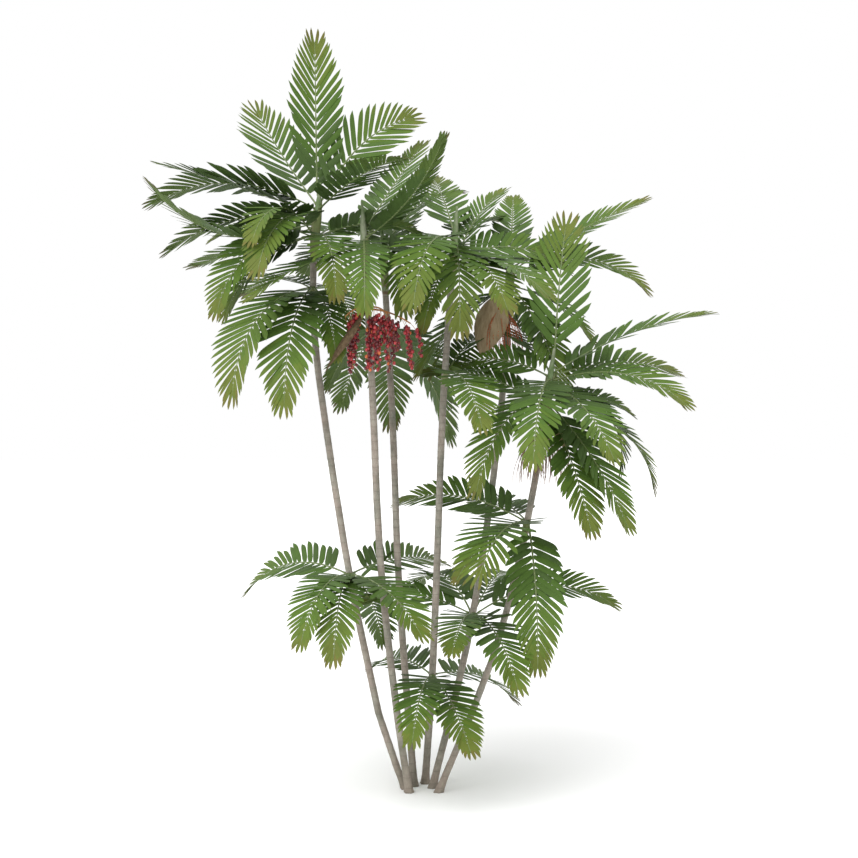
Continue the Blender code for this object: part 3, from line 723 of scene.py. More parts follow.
# --- how the clump grows
def catmull(way: tuple, z: float) -> Array:
    """The smooth line's x and y at a height.

    Args:
        way: The line's points, lowest first.
        z: The height.

    Returns:
        x and y.
    """
    rows = np.array(way)
    last = len(rows) - 1
    i = np.count_nonzero(z > rows[1:last, 2])
    before, low, high, after = (rows[k] for k in (max(i - 1, 0), i, i + 1, min(i + 2, last)))
    span = high[2] - low[2]
    t = (z - low[2]) / span
    leave = (high - before) / (high[2] - before[2]) * span
    reach = (after - low) / (after[2] - low[2]) * span
    ease = 3 * t ** 2 - 2 * t ** 3
    return ((1 - ease) * low + (t ** 3 - 2 * t ** 2 + t) * leave + ease * high + (t ** 3 - t ** 2) * reach)[:2]


class StemLine:
    """The line a stem follows, as its solid's stations give it."""

    def __init__(self, stem: Stem) -> None:
        """Work out the solid's rings.

        Args:
            stem: The stem.
        """
        self.name = stem.name
        self.top = stem.way[-1][2]
        self.shaft = self.top - SHAFT_LENGTH
        low = 0.16
        count = round((self.shaft - low) / STEM_STEP)
        steps = [low + (self.shaft - low) * (k + 1) / count for k in range(count)]
        self.heights = [0.0, 0.05, low, *steps, self.shaft + 0.1, self.shaft + 0.3, self.top]
        self.stations = [(*catmull(stem.way, z), z, self.skin(z)) for z in self.heights]

    def skin(self, z: float | Array) -> float | Array:
        """The stem's radius through root flare, taper, crownshaft and spear.

        Args:
            z: The height, or a row of them.

        Returns:
            The radius there.
        """
        up = np.maximum(0.0, z - self.shaft)
        radius = (STEM_LOW_RADIUS + (STEM_HIGH_RADIUS - STEM_LOW_RADIUS) * z / self.top
                  + FLARE_SWELL * np.exp(-z / FLARE_HEIGHT) + SHAFT_SWELL * np.minimum(1.0, up / 0.1))
        return radius + (SPEAR_RADIUS - radius) * np.maximum(0.0, (up - 0.3) / (SHAFT_LENGTH - 0.3))

    def at(self, z: float) -> tuple[Vector, float, Vector]:
        """Middle, radius and run of the solid stem at a height.

        Args:
            z: The height.

        Returns:
            The middle, the radius, and the way the stem runs.
        """
        i = min(max(bisect_left(self.heights, z) - 1, 0), len(self.heights) - 2)
        low, high = self.stations[i:i + 2]
        t = (z - low[2]) / (high[2] - low[2])
        foot, head = Vector(low[:3]), Vector(high[:3])
        return foot.lerp(head, t), low[3] + (high[3] - low[3]) * t, (head - foot).normalized()

    def wrap(self, z: Array, radius: Array, turn: Array) -> Array:
        """Places round the stem's middle.

        Args:
            z: Their heights.
            radius: How far off the middle they lie.
            turn: The way they lie off it, in radians.

        Returns:
            The places.
        """
        middle = np.array([self.at(height)[0] for height in z])
        return np.stack([middle[:, 0] + radius * np.cos(turn), middle[:, 1] + radius * np.sin(turn), z], axis=1)

    def foot(self, azimuth: float, height: float, extra: float = 0.0) -> tuple[Vector, Vector]:
        """Middle of a foot on the stem's skin, and the stem's run there.

        Args:
            azimuth: The way the foot faces, in degrees.
            height: Its height.
            extra: More room under it.

        Returns:
            The foot's middle and the stem's run.
        """
        centre, _, run = self.at(height)
        reach = max(self.at(height + dz)[1] for dz in (-0.5 * FOOT_HEIGHT, 0.5 * FOOT_HEIGHT))
        step = 360.0 / STEM_SIDES
        off = radians((azimuth + step / 2) % step - step / 2)
        out = reach * cos(off) + GAP + extra
        turn = radians(azimuth)
        return centre + Vector((cos(turn), sin(turn), 0.0)) * out, run


def rib_lift(frond: Frond, t: float) -> float:
    """The rib's angle above level, in radians, at a share of its length."""
    lift = frond.lift - frond.droop * t ** BEND_POWER
    return radians(lift - max(0.0, lift - FOOT_LIFT) * max(0.0, 1.0 - t / FOOT_RUN))


def rib_size(t: float) -> tuple[float, float]:
    """Width and height of a rib at a share of its length."""
    return float(np.interp(t, SIZE_SHARES, RIB_WIDTHS)), float(np.interp(t, SIZE_SHARES, RIB_HEIGHTS))


class Rib:
    """A frond's rib: its line, and the across and up ways along it."""

    def __init__(self, frond: Frond, foot: Vector, run: Vector) -> None:
        """Grow the rib out from its foot.

        Args:
            frond: The frond.
            foot: Where it starts.
            run: The way its stem runs there.
        """
        self.frond = frond
        self.run = run
        turn = radians(frond.azimuth)
        self.level = Vector((-sin(turn), cos(turn), 0.0))
        self.points = [foot.copy()]
        self.ways: list[Vector] = []
        for i in range(RIB_STEPS):
            lift = rib_lift(frond, (i + 0.5) / RIB_STEPS)
            way = Vector((cos(lift) * cos(turn), cos(lift) * sin(turn), sin(lift)))
            self.ways.append(way)
            self.points.append(self.points[-1] + way * (frond.length / RIB_STEPS))

    def at(self, t: float) -> tuple[Vector, Vector, Vector, Vector]:
        """The rib at a share of its length.

        Args:
            t: The share.

        Returns:
            The place, and the ways along, across and up.
        """
        x = t * RIB_STEPS
        i = min(int(x), RIB_STEPS - 1)
        place = self.points[i].lerp(self.points[i + 1], x - i)
        before = self.ways[max(int(x - 0.5), 0)]
        after = self.ways[min(int(x + 0.5), RIB_STEPS - 1)]
        along = (before + after).normalized()
        turn = radians(self.frond.twist) * min(1.0, t / PETIOLE_END)
        across = self.level * cos(turn) + along.cross(self.level) * sin(turn)
        return place, along, across, along.cross(across)


def blade_share(w: float) -> float:
    """Share of the rib at a share of the leaflets, which stand closer further out."""
    return PETIOLE_END + (BLADE_END - PETIOLE_END) * w * (1.0 + PITCH_EASE * (1.0 - w))


def leaflet_rule(frond: Frond, u: float) -> tuple[float, float]:
    """A leaflet's length share and its angle off the rib.

    Args:
        frond: The frond; the leaflets of a steep one stand closer to the rib.
        u: Share of the leaflets, from the first to the last.

    Returns:
        The share of the full length, and the angle in radians.
    """
    swell = sin(pi * min(1.0, 0.12 + 0.95 * u) ** 0.9)
    steep = min(1.0, max(0.0, (frond.lift - 10.0) / 65.0))
    spread = LOW_SPREAD - STEEP_SPREAD * steep
    return 0.56 + 0.44 * swell, radians(spread - (spread - TIP_SPREAD) * u ** 1.1)


def settle_feet(crown: Crown, taken: list[tuple[float, float]]) -> list[float]:
    """Heights of a crown's feet, the steepest highest, none on another.

    Args:
        crown: The crown.
        taken: Azimuth and height of every foot on the stem so far, to which these are added.

    Returns:
        A height for each frond.
    """
    heights = [crown.height] * len(crown.fronds)
    for i in sorted(range(len(heights)), key=lambda k: -crown.fronds[k].lift):
        frond = crown.fronds[i]
        if not crown.groups:
            heights[i] += 0.1 * (frond.lift - 20.0) / 60.0
            while any(abs((frond.azimuth - azimuth + 180.0) % 360.0 - 180.0) < FOOT_TURN
                      and abs(heights[i] - height) < FOOT_HEIGHT + 0.003 for azimuth, height in taken):
                heights[i] -= 0.004
        taken.append((frond.azimuth, heights[i]))
    return heights


# --- stems
@dataclass
class StemBark:
    """A stem's bark, with its root flare and its leaf scars."""

    line: StemLine
    number: int
    sides: int = 20
    low_step: float = 0.085  # between scars near the ground
    high_step: float = 0.048  # and under the crownshaft
    ridge: float = 0.0009
    groove: float = 0.0006
    lean: float = 0.0016  # how far a scar tips from level

    def levels(self) -> list[tuple[float, float, float]]:
        """Lay out the rings between ground and shaft.

        Returns:
            Height, offset and scar mark of each.
        """
        draw = random.Random(100 + self.number)
        rows = [(0.0, 0.0, 0.0), (0.012, 0.0004, 0.0)]
        z = 0.035
        while z < self.line.shaft - 0.02:
            share = z / self.line.shaft
            step = (self.low_step + (self.high_step - self.low_step) * share) * draw.uniform(0.82, 1.18)
            high = self.ridge * draw.uniform(0.6, 1.2)
            rows += [(z, 0.0002, 0.25), (z + 0.003, -self.groove, 1.0), (z + 0.006, high, 0.55),
                     (z + 0.011, high * 0.6, 0.1), (z + 0.5 * step, -0.0003, 0.0)]
            z += step
        return rows + [(self.line.shaft, 0.0002, 0.6)]

    def build(self, material: Material) -> None:
        """Make the piece.

        Args:
            material: Its material.
        """
        phase = random.Random(200 + self.number).uniform(0.0, tau)
        levels = np.array(self.levels())
        pattern = Pattern.tube(self.sides, len(levels))
        turn = pattern.turn + phase
        z, offset, mark = levels[pattern.ring].T
        radius = self.line.skin(z) * SKIN_FIT + offset
        radius *= 1.0 + 0.1 * np.exp(-z / 0.05) * np.sin(5 * pattern.turn + phase)
        radius *= 1.0 + 0.012 * np.sin(3 * pattern.turn + phase + 9.0 * z)
        places = self.line.wrap(z, radius, pattern.turn)
        places[:, 2] += self.lean * np.minimum(1.0, z / 0.1) * np.sin(turn + 40.0 * z)
        gather = Gather()
        gather.add(pattern, places, scar=mark, height=z)
        gather.piece(f"{self.line.name}_bark", [material], [self.line.name], "bark")


@dataclass
class Crownshaft:
    """The smooth sheaths and the spear round a stem's top."""

    line: StemLine
    sides: int = 18
    rows: int = 30

    def build(self, material: Material) -> None:
        """Make the piece.

        Args:
            material: Its material.
        """
        pattern = Pattern.tube(self.sides, self.rows)
        share = pattern.ring / (self.rows - 1)
        z = np.linspace(self.line.shaft - 0.012, self.line.top, self.rows)[pattern.ring]
        skin = np.where(pattern.ring == 0, self.line.skin(z) * SKIN_FIT + 0.0006,
                        self.line.skin(np.maximum(z, self.line.shaft + 0.03)) * SKIN_FIT)
        radius = skin * (1.0 + 0.03 * np.sin(2 * pattern.turn + 7.0 * share)) + 0.0012 * np.sin(19.0 * share)
        gather = Gather()
        gather.add(pattern, self.line.wrap(z, radius, pattern.turn), rim=np.where(pattern.ring < 2, 1.0, 0.0))
        gather.piece(f"{self.line.name}_shaft", [material], [self.line.name], "leaf")


# --- fronds
@dataclass
class Blade:
    """How every frond is dressed with leaflets."""

    leaf_run: float = 6.2  # pairs of leaflets times their length
    rows: int = 6  # of faces along a leaflet
    columns: int = 4  # and across it
    width: float = 1.04  # of the pitch between leaflets
    widest: float = 0.072
    narrowest: float = 0.026
    end_width: float = 0.026  # of the last pair
    rise: float = 10.0  # degrees the leaflets stand up from the rib
    ridge: float = 8.0  # degrees a leaflet's halves fall from its midrib
    sag: float = 0.055  # a leaflet's own droop, as a share of its length
    slant: float = 0.14  # how far the tip is cut back on its near edge
    thick: float = 0.0007
    clear: float = 0.012  # between a leaflet's midrib and a stem

    def __post_init__(self) -> None:
        """Draw the leaflet's pattern, and its outline on that."""
        self.pattern = Pattern.sheet(self.columns, self.rows)
        self.across = self.pattern.spots[:, 0]
        self.along = self.pattern.spots[:, 1] ** 0.9
        self.upper = self.pattern.spots[:, 2]
        swell = np.sin(np.pi / 2 * np.minimum(1.0, self.along / 0.22) ** 0.75)
        narrow = 1.0 - 0.46 * np.maximum(0.0, (self.along - 0.7) / 0.3) ** 2.2
        self.outline = (0.62 + 0.38 * swell) * narrow
        self.run = self.along * (1.0 - self.slant * (1.0 - self.across) / 2 * self.along)
        self.flat = np.stack([self.across * 0.5 + 0.5, self.along], axis=1)
        self.face_along = [float(np.mean(self.along[face])) for face in self.pattern.faces]
        self.face_upper = [float(np.mean(self.upper[face])) > 0.5 for face in self.pattern.faces]

    def tints(self, u: float, age: float) -> list[int]:
        """The material slots of a leaflet's faces: leaf tints on top, and underneath the darker underside tints,
        which are partly painted shade.

        Args:
            u: Share of the frond's blade, from the first leaflet to the last.
            age: What this frond and leaflet add.

        Returns:
            A slot for each face of the pattern.
        """
        slots = []
        for s, upper in zip(self.face_along, self.face_upper):
            ripe = 0.8 + 4.2 * max(0.0, u - 0.12) ** 1.25 + 1.5 * u * max(0.0, s - 0.35) + age
            # under faces take the underside tints, partly painted shade
            slots.append(max(0, min(len(TONES) - 1, int(ripe))) if upper
                         else len(TONES) + max(0, min(len(SHADED_BACKS) - 1, int(ripe / 2.4))))
        return slots


class FrondDress:
    """The leaflets, ribs and clasping bases of one crown."""

    def __init__(self, crown: Crown, stems: Sequence[StemLine], heights: list[float], blade: Blade,
                 seed: int) -> None:
        """Place the crown's ribs on its stem.

        Args:
            crown: The crown.
            stems: Every stem, which the leaflets keep clear of.
            heights: Where each frond's foot stands.
            blade: The leaflets' sizes.
            seed: What the crown's random draws start from.
        """
        self.crown = crown
        self.line = stems[crown.stem]
        self.stems = stems
        self.heights = heights
        self.blade = blade
        self.draw = random.Random(seed)
        extra = 0.006 if crown.groups else 0.0
        self.ribs = [Rib(frond, *self.line.foot(frond.azimuth, height, extra))
                     for frond, height in zip(crown.fronds, heights)]

    def piece(self, gather: Gather, kind: str, materials: Sequence[Material]) -> None:
        """Make one kind of the crown's parts into a piece.

        Args:
            gather: The parts.
            kind: What they are.
            materials: Their material slots.
        """
        name = self.crown.name
        nodes = [f"{name}_fronds_{'abc'[g]}" for g in range(len(self.crown.groups))]
        nodes = nodes or [f"{name}_frond_{i + 1:02d}" for i in range(len(self.crown.fronds))]
        gather.piece(f"{name}_{kind}", materials, nodes, "leaf")

    def meets_stem(self, start: Vector, end: Vector) -> bool:
        """Tell whether a leaflet would cut through a stem.

        Args:
            start: Its foot.
            end: Its tip.

        Returns:
            True where it would.
        """
        for line in self.stems:
            for i in range(1, 6):
                point = start.lerp(end, i / 5)
                if 0.0 < point.z < line.top:
                    centre, radius, _ = line.at(point.z)
                    if (point - centre).to_2d().length < radius + self.blade.clear:
                        return True
        return False

    def add_leaflet(self, gather: Gather, rib: Rib, t: float, u: float, side: int, angle: float,
                    reach: float, half: float, age: float) -> None:
        """Lay one leaflet on a rib.

        Args:
            gather: The mesh it is added to.
            rib: The rib.
            t: Share of the rib where it starts.
            u: Share of the blade there.
            side: 1 for the left of the rib, -1 for its right.
            angle: Off the rib, in radians.
            reach: The leaflet's length.
            half: Half its greatest width.
            age: What the frond adds to its tint.
        """
        blade = self.blade
        place, along, across, up = rib.at(t)
        rise = radians(blade.rise + self.draw.uniform(-5.0, 5.0))
        start = place + across * side * rib_size(t)[0] * 0.35
        for _ in range(5):
            way = along * cos(angle) + (across * side * cos(rise) + up * sin(rise)) * sin(angle)
            if not self.meets_stem(start, start + way * reach):
                break
            rise += radians(16.0)
            reach *= 0.88
        far = (along - way * along.dot(way)).normalized()
        normal = way.cross(far)
        mirrored = normal.dot(up) >= 0.0
        if not mirrored:
            normal = -normal
        level = sqrt(max(0.0, 1.0 - way.z * way.z))
        sag = blade.sag * reach * level * self.draw.uniform(0.4, 1.6)
        curl = self.draw.uniform(-0.012, 0.012) * reach
        fall = tan(radians(blade.ridge))
        run = blade.run[:, None]
        wide = (blade.outline * blade.across)[:, None] * half
        places = (np.array(start) + np.array(way) * reach * run + np.array(far) * (wide + curl * run ** 2)
                  + np.array((0.0, 0.0, -sag)) * run ** 2
                  - np.array(normal) * (np.abs(wide) * fall + (1.0 - blade.upper[:, None]) * blade.thick))
        tints = blade.tints(u, age + self.draw.uniform(-0.35, 0.35))
        gather.add(blade.pattern, places, tints, blade.flat, mirrored)

    def leaflets(self, materials: Sequence[Material]) -> None:
        """Make the crown's leaflets as one piece.

        Args:
            materials: Its material slots, uppers first, then the darker undersides, which are partly painted
                shade.
        """
        gather = Gather()
        blade = self.blade
        draw = self.draw
        for rib in self.ribs:
            frond = rib.frond
            age = draw.uniform(-0.5, 0.5)
            scale = frond.leaflet * frond.length / FROND_LENGTH
            pairs = round(blade.leaf_run / frond.leaflet)
            spread = blade.width * sqrt(LEAFLET_LENGTH / frond.leaflet)
            for side in (1, -1):
                for k in range(pairs):
                    w = (k + 0.5 + draw.uniform(-0.1, 0.1)) / pairs
                    pitch = (blade_share(w + 0.5 / pairs) - blade_share(w - 0.5 / pairs)) * frond.length
                    share, angle = leaflet_rule(frond, w)
                    wide = min(blade.widest, max(blade.narrowest, pitch * sin(angle) * spread))
                    angle += radians(draw.uniform(-2.5, 2.5))
                    reach = scale * share * draw.uniform(0.95, 1.03)
                    self.add_leaflet(gather, rib, blade_share(w), w, side, angle, reach, wide / 2, age)
                self.add_leaflet(gather, rib, BLADE_END, 1.0, side, radians(10.0), scale * 0.5,
                                 blade.end_width / 2, age)
        self.piece(gather, "leaflets", materials)

    def rib_tubes(self, material: Material) -> None:
        """Make the crown's ribs and petioles as one piece.

        Args:
            material: Its material.
        """
        gather = Gather()
        shares = [0.0, 0.015, 0.035, 0.06, 0.085, *np.linspace(PETIOLE_END, 0.96, 18)]
        pattern = Pattern.tube(8, len(shares))
        x, y = pattern.spots[:, :1], pattern.spots[:, 1:2]
        for rib in self.ribs:
            rows = []
            for t in shares:
                place, _, across, up = rib.at(t)
                if t == 0.0:
                    across, up = rib.level, rib.run
                width, height = rib_size(t)
                narrow = 1.0 - 0.6 * max(0.0, t - BLADE_END) / (1.0 - BLADE_END)
                rows.append((place, across * width * narrow / 2, up * height * narrow / 2))
            places, aside, upward = np.array(rows)[pattern.ring].transpose(1, 0, 2)
            gather.add(pattern, places + aside * x + upward * y * np.where(y > 0.1, 0.62, 1.0))
        self.piece(gather, "ribs", [material])

    def bases(self, material: Material) -> None:
        """Make the clasping bases under the crown's petioles as one piece.

        Args:
            material: Its material.
        """
        gather = Gather()
        pattern = Pattern.sheet(8, 7)
        v, along, upper = pattern.spots.T
        s = 1.0 - along
        for rib, foot in zip(self.ribs, self.heights):
            on_shaft = foot > self.line.shaft + 0.05
            length = min(0.34, foot - self.line.shaft) if on_shaft else 0.11
            length *= self.draw.uniform(0.85, 1.0)
            spread = 78.0 if on_shaft else 62.0
            half = np.radians(14.0 + (spread - 14.0) * np.minimum(1.0, s * 2.2) ** 0.7)
            z = foot + 0.012 - length * s - 0.02 * v * v * along
            lift = 0.0012 + 0.0014 * upper + 0.01 * (1.0 - v * v) * along ** 2
            radius = self.line.skin(z) * SKIN_FIT + lift
            places = self.line.wrap(z, radius, radians(rib.frond.azimuth) + half * v)
            rim = np.maximum(0.0, s - 0.82) / 0.18 * 0.8 + np.maximum(0.0, np.abs(v) - 0.8)
            gather.add(pattern, places, rim=rim)
        self.piece(gather, "bases", [material])


# --- fruit and bracts
def line_at(points: Array, t: float) -> Array:
    """The place at a share of a row of points."""
    x = min(max(t, 0.0), 0.9999) * (len(points) - 1)
    i = int(x)
    return points[i] + (points[i + 1] - points[i]) * (x - i)


def hanging_line(start: Array, length: float, lean: tuple[float, float], wave: float,
                 turn: float) -> Array:
    """A string that arches off its branch and hangs.

    Args:
        start: Its top.
        length: How far down it hangs.
        lean: How far its foot stands off in x and y.
        wave: How far it waves from side to side.
        turn: The wave's phase.

    Returns:
        The points, top first.
    """
    t = np.linspace(0.0, 1.0, STRING_POINTS)
    out = 1.0 - (1.0 - t) ** 2.2
    side = wave * np.sin(turn + 5.0 * t) * t
    drop = -length * t * (0.55 + 0.45 * t)
    return start + np.stack([lean[0] * out + side, lean[1] * out + side * 0.6, drop], axis=1)


def arc(start: Array, step: tuple, sag: float, count: int) -> Array:
    """A line that bulges.

    Args:
        start: Its first point.
        step: The way from that to its last.
        sag: How far up it bulges.
        count: Its number of points.

    Returns:
        The points.
    """
    t = np.linspace(0.0, 1.0, count)[:, None]
    return start + np.array(step) * t + np.array((0.0, 0.0, 4 * sag)) * t * (1 - t)


@dataclass(frozen=True)
class Bract:
    """A boat-shaped bract."""

    base: tuple  # its foot, off the fork
    tip: tuple  # its tip, off the fork
    widths: tuple  # half widths, from base to tip
    across: tuple  # the way it spreads
    hollow: float  # depth of its trough, as a share of its half width
    sag: float = 0.01
    thick: float = 0.003

    def build(self, fork: Array) -> Gather:
        """Shape it beside a fork.

        Args:
            fork: The fork.

        Returns:
            Its mesh.
        """
        start = fork + np.array(self.base)
        line = arc(start, fork + np.array(self.tip) - start, self.sag, 12)
        pattern = Pattern.sheet(8, 18)
        v, s, upper = (pattern.spots[:, i:i + 1] for i in range(3))
        middle = np.array([line_at(line, t) for t in s[:, 0]])
        ahead = np.array([line_at(line, t + 0.04) - line_at(line, t - 0.04) for t in s[:, 0]])
        ahead /= np.linalg.norm(ahead, axis=1)[:, None]
        side = np.array(self.across) - ahead * (ahead @ np.array(self.across))[:, None]
        side /= np.linalg.norm(side, axis=1)[:, None]
        wide = np.interp(s, np.linspace(0.0, 1.0, len(self.widths)), self.widths)
        depth = self.hollow * wide * (v * v - 0.4) + 0.004 * np.sin(9.0 * s + 3.0 * v)
        gather = Gather()
        gather.add(pattern, middle + side * (v * wide) + np.cross(side, ahead) * (depth + upper * self.thick))
        return gather


@dataclass
class Bunch:
    """A stalk off a stem, what hangs from it, and its bract."""

    line: StemLine
    finishes: dict[str, Material]
    name: str
    seed: int
    azimuth: float
    height: float
    steps: tuple  # the stalk's points off its foot; it forks at the last but one
    radii: tuple  # of the stalk, from its foot to its end
    bract: Bract
    strings: int

    def __post_init__(self) -> None:
        """Grow the stalk."""
        self.draw = random.Random(self.seed)
        self.strands = Gather()
        foot, _ = self.line.foot(self.azimuth, self.height)
        points = np.array([tuple(foot + Vector(step)) for step in ((0.0, 0.0, 0.0), *self.steps)])
        shares = np.linspace(0.0, 1.0, 13)
        thick = np.interp(shares, np.linspace(0.0, 1.0, len(self.radii)), self.radii)
        self.strands.tube(Pattern.tube(10, 13), np.array([line_at(points, t) for t in shares]), thick)
        self.fork = points[-2]

    def piece(self, gather: Gather, kind: str, finishes: Sequence[str], slot: str) -> None:
        """Make some of the bunch's parts into a piece.

        Args:
            gather: The parts.
            kind: What they are.
            finishes: The names of their finishes.
            slot: Their material slot in the record, passed on to Gather.piece, which does not use it.
        """
        gather.piece(f"{self.name}_{kind}", [self.finishes[key] for key in finishes], [f"{self.name}_bunch"], slot)


@dataclass
class FruitBunch(Bunch):
    """Forked strings of drupes under their bract."""

    branches: tuple  # each one's end, off the fork
    drupe: float = 0.0138  # radius
    thread: float = 0.0017  # and that of a string

    def build(self) -> None:
        """Make the bunch's pieces."""
        draw = self.draw
        fruit = Gather()
        thread = Pattern.tube(5, STRING_POINTS)
        ball = Pattern.ball(8, 6)
        for b, step in enumerate(self.branches):
            start = self.fork + np.array((0.0, 0.004 * b, -0.003 * b))
            line = arc(start, self.fork + np.array(step) - start, 0.03, 11)
            self.strands.tube(Pattern.tube(8, 11), line, np.linspace(0.008, 0.005, 11))
            for s in range(self.strings):
                even = s / (self.strings - 1)
                t = 0.14 + 0.86 * (even + 0.055 * sin(2.0 * tau * even))
                length = 0.24 + 0.26 * draw.random()
                lean = (0.1 * (t - 0.5) + 0.02 * (b - 1) + draw.uniform(-0.03, 0.03),
                        -0.05 + 0.08 * draw.random())
                points = hanging_line(line_at(line, t), length, lean, 0.008, draw.uniform(0.0, 6.0))
                self.strands.tube(thread, points, self.thread)
                self.add_drupes(fruit, ball, points, length)
        self.piece(self.strands, "strings", ["string_orange"], "strand")
        self.piece(fruit, "drupes", ["drupe_dark", "drupe_red", "drupe_bright", "drupe_orange"], "berry")
        self.piece(self.bract.build(self.fork), "bract", ["bract_brown"], "dry")

    def add_drupes(self, gather: Gather, ball: Pattern, points: Array, length: float) -> None:
        """Set drupes along a string, turn by turn round it.

        Args:
            gather: The mesh they are added to.
            ball: A drupe's pattern.
            points: The string.
            length: Its length.
        """
        draw = self.draw
        count = round(length / (self.drupe * 1.35))
        for i in range(count):
            if draw.random() < 0.12:
                continue
            turn = i * 2.4 + draw.uniform(-0.5, 0.5)
            radius = self.drupe * draw.uniform(0.82, 1.12)
            off = np.array((cos(turn), sin(turn), 0.0)) * (radius * 0.85)
            middle = line_at(points, 0.26 + 0.74 * (i + 0.5) / count) + off
            kind = draw.choices((0, 1, 2, 3), (52, 34, 11, 3))[0]
            gather.add(ball, middle + ball.spots * radius * np.array((1.0, 1.0, 1.18)), kind)


@dataclass
class BareBunch(Bunch):
    """Bare strings, with buds on them while they are young."""

    kind: str  # what the strings are called
    finish: str  # the name of their finish
    slot: str  # their material slot in the record
    root: tuple  # how wide the strings start, and how far forward
    lean: tuple  # across and out: the least, and how much more
    length: tuple  # the least, and how much more
    wave: float
    thick: tuple  # a string's radius at its ends and between
    buds: int = 0  # on a string

    def build(self) -> None:
        """Make the bunch's pieces."""
        draw = self.draw
        buds = Gather()
        thread = Pattern.tube(5, STRING_POINTS)
        ball = Pattern.ball(6, 4)
        radii = np.array([self.thick[0]] + [self.thick[1]] * (STRING_POINTS - 2) + [self.thick[2]])
        (left, wider), (near, deeper) = self.lean
        for s in range(self.strings):
            t = s / (self.strings - 1)
            lean = (left + wider * t + draw.uniform(-0.02, 0.02), near + deeper * draw.random())
            start = self.fork + np.array((self.root[0] * (t - 0.5), self.root[1], 0.0))
            points = hanging_line(start, self.length[0] + self.length[1] * draw.random(), lean, self.wave,
                                  draw.uniform(0.0, 6.0))
            self.strands.tube(thread, points, radii)
            for k in range(self.buds):
                spot = line_at(points, 0.25 + 0.75 * (k + draw.random()) / self.buds)
                aside = np.array((draw.uniform(-1, 1), draw.uniform(-1, 1), 0.0)) * 0.003
                buds.add(ball, spot + aside + ball.spots * 0.0042)
        self.piece(self.strands, self.kind, [self.finish], self.slot)
        if self.buds:
            self.piece(buds, "buds", ["bud_orange"], "strand")
        self.piece(self.bract.build(self.fork), "bract", ["bract_warm"], "dry")


def make_bunches(lines: Sequence[StemLine], finishes: dict[str, Material]) -> None:
    """Make the ripe, the young and the spent bunch.

    Args:
        lines: The stems.
        finishes: The bunches' materials, by name.
    """
    FruitBunch(
        lines[1], finishes, "fruit", seed=31, azimuth=270.0, height=3.86,
        steps=((0.0, -0.06, 0.015), (0.0, -0.16, 0.035), (0.0, -0.18, 0.035)), radii=(0.016, 0.013, 0.013, 0.01),
        bract=Bract((-0.005, 0.0, 0.0), (-0.31, -0.2, -0.5), (0.008, 0.045, 0.062, 0.055, 0.034, 0.003),
                    (0.75, -0.55, 0.25), 0.35, sag=0.02),
        strings=8,
        branches=((-0.17, -0.06, -0.07), (0.16, -0.1, -0.05), (0.34, -0.02, -0.12))).build()
    BareBunch(
        lines[4], finishes, "flower", seed=47, azimuth=235.0, height=3.93,
        steps=((-0.03, -0.07, 0.01), (-0.065, -0.2, 0.02), (-0.075, -0.22, 0.02)),
        radii=(0.016, 0.013, 0.013, 0.01),
        bract=Bract((0.0, 0.01, 0.13), (-0.16, -0.03, -0.4), (0.02, 0.1, 0.145, 0.135, 0.085, 0.006),
                    (0.95, -0.25, 0.1), 0.18),
        strings=34, kind="strands", finish="strand_orange", slot="strand",
        root=(0.01, -0.004), lean=((-0.1, 0.3), (-0.05, 0.05)), length=(0.36, 0.08), wave=0.012,
        thick=(0.003, 0.0021, 0.001), buds=16).build()
    BareBunch(
        lines[5], finishes, "dry", seed=59, azimuth=262.0, height=2.92,
        steps=((-0.006, -0.04, 0.008), (-0.012, -0.08, 0.0), (-0.012, -0.1, -0.01)),
        radii=(0.014, 0.011, 0.01, 0.008),
        bract=Bract((0.045, 0.03, 0.22), (0.2, -0.05, -0.15), (0.01, 0.045, 0.058, 0.05, 0.034, 0.004),
                    (0.85, 0.4, 0.3), 0.3),
        strings=80, kind="strings", finish="dry_fibre", slot="dry",
        root=(0.008, -0.003), lean=((-0.2, 0.42), (-0.07, 0.1)), length=(0.28, 0.14), wave=0.018,
        thick=(0.0036, 0.0026, 0.0012)).build()


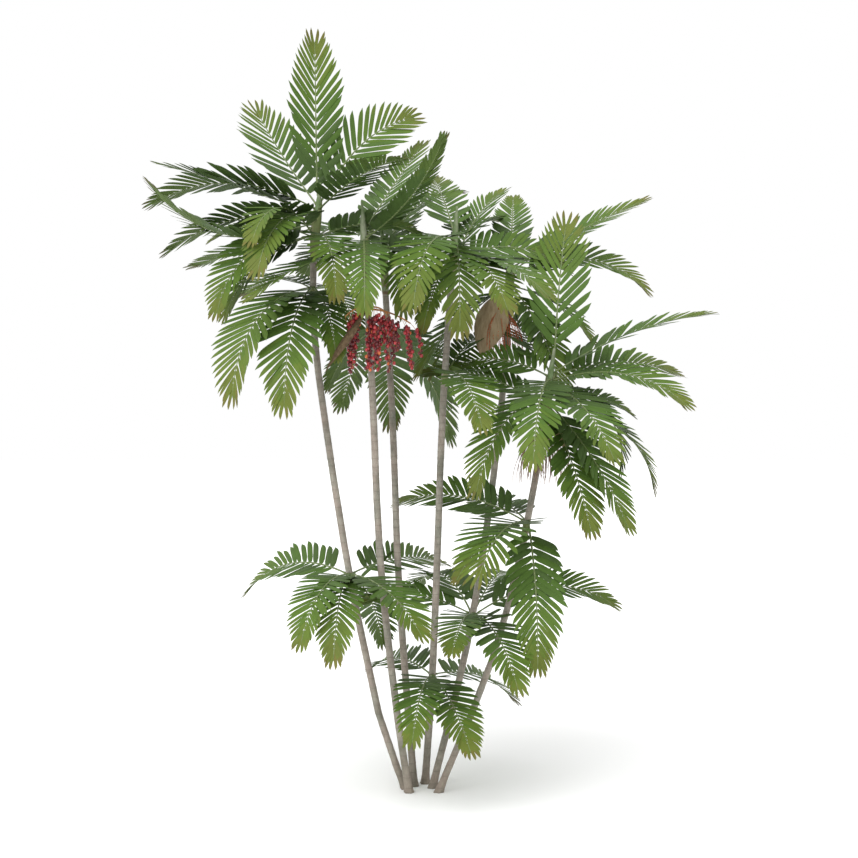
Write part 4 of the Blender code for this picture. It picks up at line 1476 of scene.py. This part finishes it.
# --- stage
@dataclass
class Studio:
    """The pale floor, the soft light and the camera."""

    eye: tuple[float, float, float] = (0.193, -11.16, 2.95)
    lens: float = 57.1
    floor: float = 120.0  # radius
    fill: float = 1.0  # light from all round
    key: float = 2.0
    key_turn: float = -30.0  # degrees left of the camera's way
    key_rise: float = 48.0
    softness: float = 60.0  # degrees the key light spans

    def build(self) -> None:
        """Make the floor, the lights and the camera."""
        bm = bmesh.new()
        bmesh.ops.create_circle(bm, cap_ends=True, segments=96, radius=self.floor)
        bmesh.ops.translate(bm, verts=bm.verts[:], vec=(0.0, 0.0, -0.0005))
        mesh = bpy.data.meshes.new("floor")
        bm.to_mesh(mesh)
        bm.free()
        net = Net("pale_floor")
        net.dress(Base_Color=(0.97, 0.97, 0.97, 1.0), Roughness=0.9, Specular_IOR_Level=0.0)
        mesh.materials.append(net.material)
        show("floor", mesh)
        world = bpy.data.worlds.new("studio")
        world.use_nodes = True
        back = world.node_tree.nodes["Background"]
        back.inputs["Color"].default_value = (1.0, 1.0, 1.0, 1.0)
        back.inputs["Strength"].default_value = self.fill
        light = bpy.data.lights.new("key", "SUN")
        light.energy = self.key
        light.angle = radians(self.softness)
        show("key", light).rotation_euler = (radians(90.0 - self.key_rise), 0.0, radians(self.key_turn))
        camera = bpy.data.cameras.new("camera")
        camera.lens = self.lens
        camera.sensor_width = 36.0
        camera.clip_end = 300.0
        view = show("camera", camera)
        view.location = self.eye
        view.rotation_euler = (radians(90.0), 0.0, 0.0)
        scene = bpy.context.scene
        scene.world = world
        scene.camera = view
        scene.view_settings.view_transform = "Standard"


# --- main
SMALL_FINISHES = (
    FibreFinish("string_orange", (196, 142, 84), (150, 98, 60), 0.6),
    FibreFinish("strand_orange", (190, 112, 66), (140, 74, 46), 0.6),
    FibreFinish("bud_orange", (198, 106, 62), (150, 70, 44), 0.55),
    FibreFinish("bract_brown", (136, 116, 88), (88, 68, 52)),
    FibreFinish("bract_warm", (166, 148, 118), (132, 114, 86), 0.7, 14.0),
    FibreFinish("dry_fibre", (176, 150, 132), (128, 96, 80), 0.8),
    DrupeFinish("drupe_dark", (84, 20, 26), (110, 28, 34)),
    DrupeFinish("drupe_red", (138, 26, 36), (168, 44, 48)),
    DrupeFinish("drupe_bright", (172, 40, 52), (196, 74, 74)),
    DrupeFinish("drupe_orange", (196, 84, 44), (210, 120, 60)),
)


def main() -> None:
    """Build the palm, class by class."""
    logging.basicConfig(level=logging.INFO, format="%(name)s %(message)s", stream=sys.stdout)
    Studio().build()
    lines = [StemLine(stem) for stem in STEMS]
    bark = BarkFinish("bark_grey").build()
    shaft = ShaftFinish("shaft_green", (96, 118, 72), (150, 156, 132), (110, 96, 74)).build()
    sheath = ShaftFinish("sheath_green", (104, 116, 70), (138, 134, 104), (112, 92, 70)).build()
    rib = RibFinish("rib_green", (122, 134, 84), (84, 104, 56)).build()
    # the underside finishes are partly painted shade: darker than the uppers
    skins = [LeafFinish(f"leaf_{tone.name.lower()}", tone).build() for tone in TONES + SHADED_BACKS]
    for number, line in enumerate(lines):
        StemBark(line, number).build(bark)
        Crownshaft(line).build(shaft)
    blade = Blade()
    taken: list[list[tuple[float, float]]] = [[] for _ in lines]
    for seed, crown in enumerate(CROWNS, 300):
        dress = FrondDress(crown, lines, settle_feet(crown, taken[crown.stem]), blade, seed)
        dress.leaflets(skins)
        dress.rib_tubes(rib)
        dress.bases(sheath)
    make_bunches(lines, {finish.name: finish.build() for finish in SMALL_FINISHES})


if __name__ == "__main__":
    main()
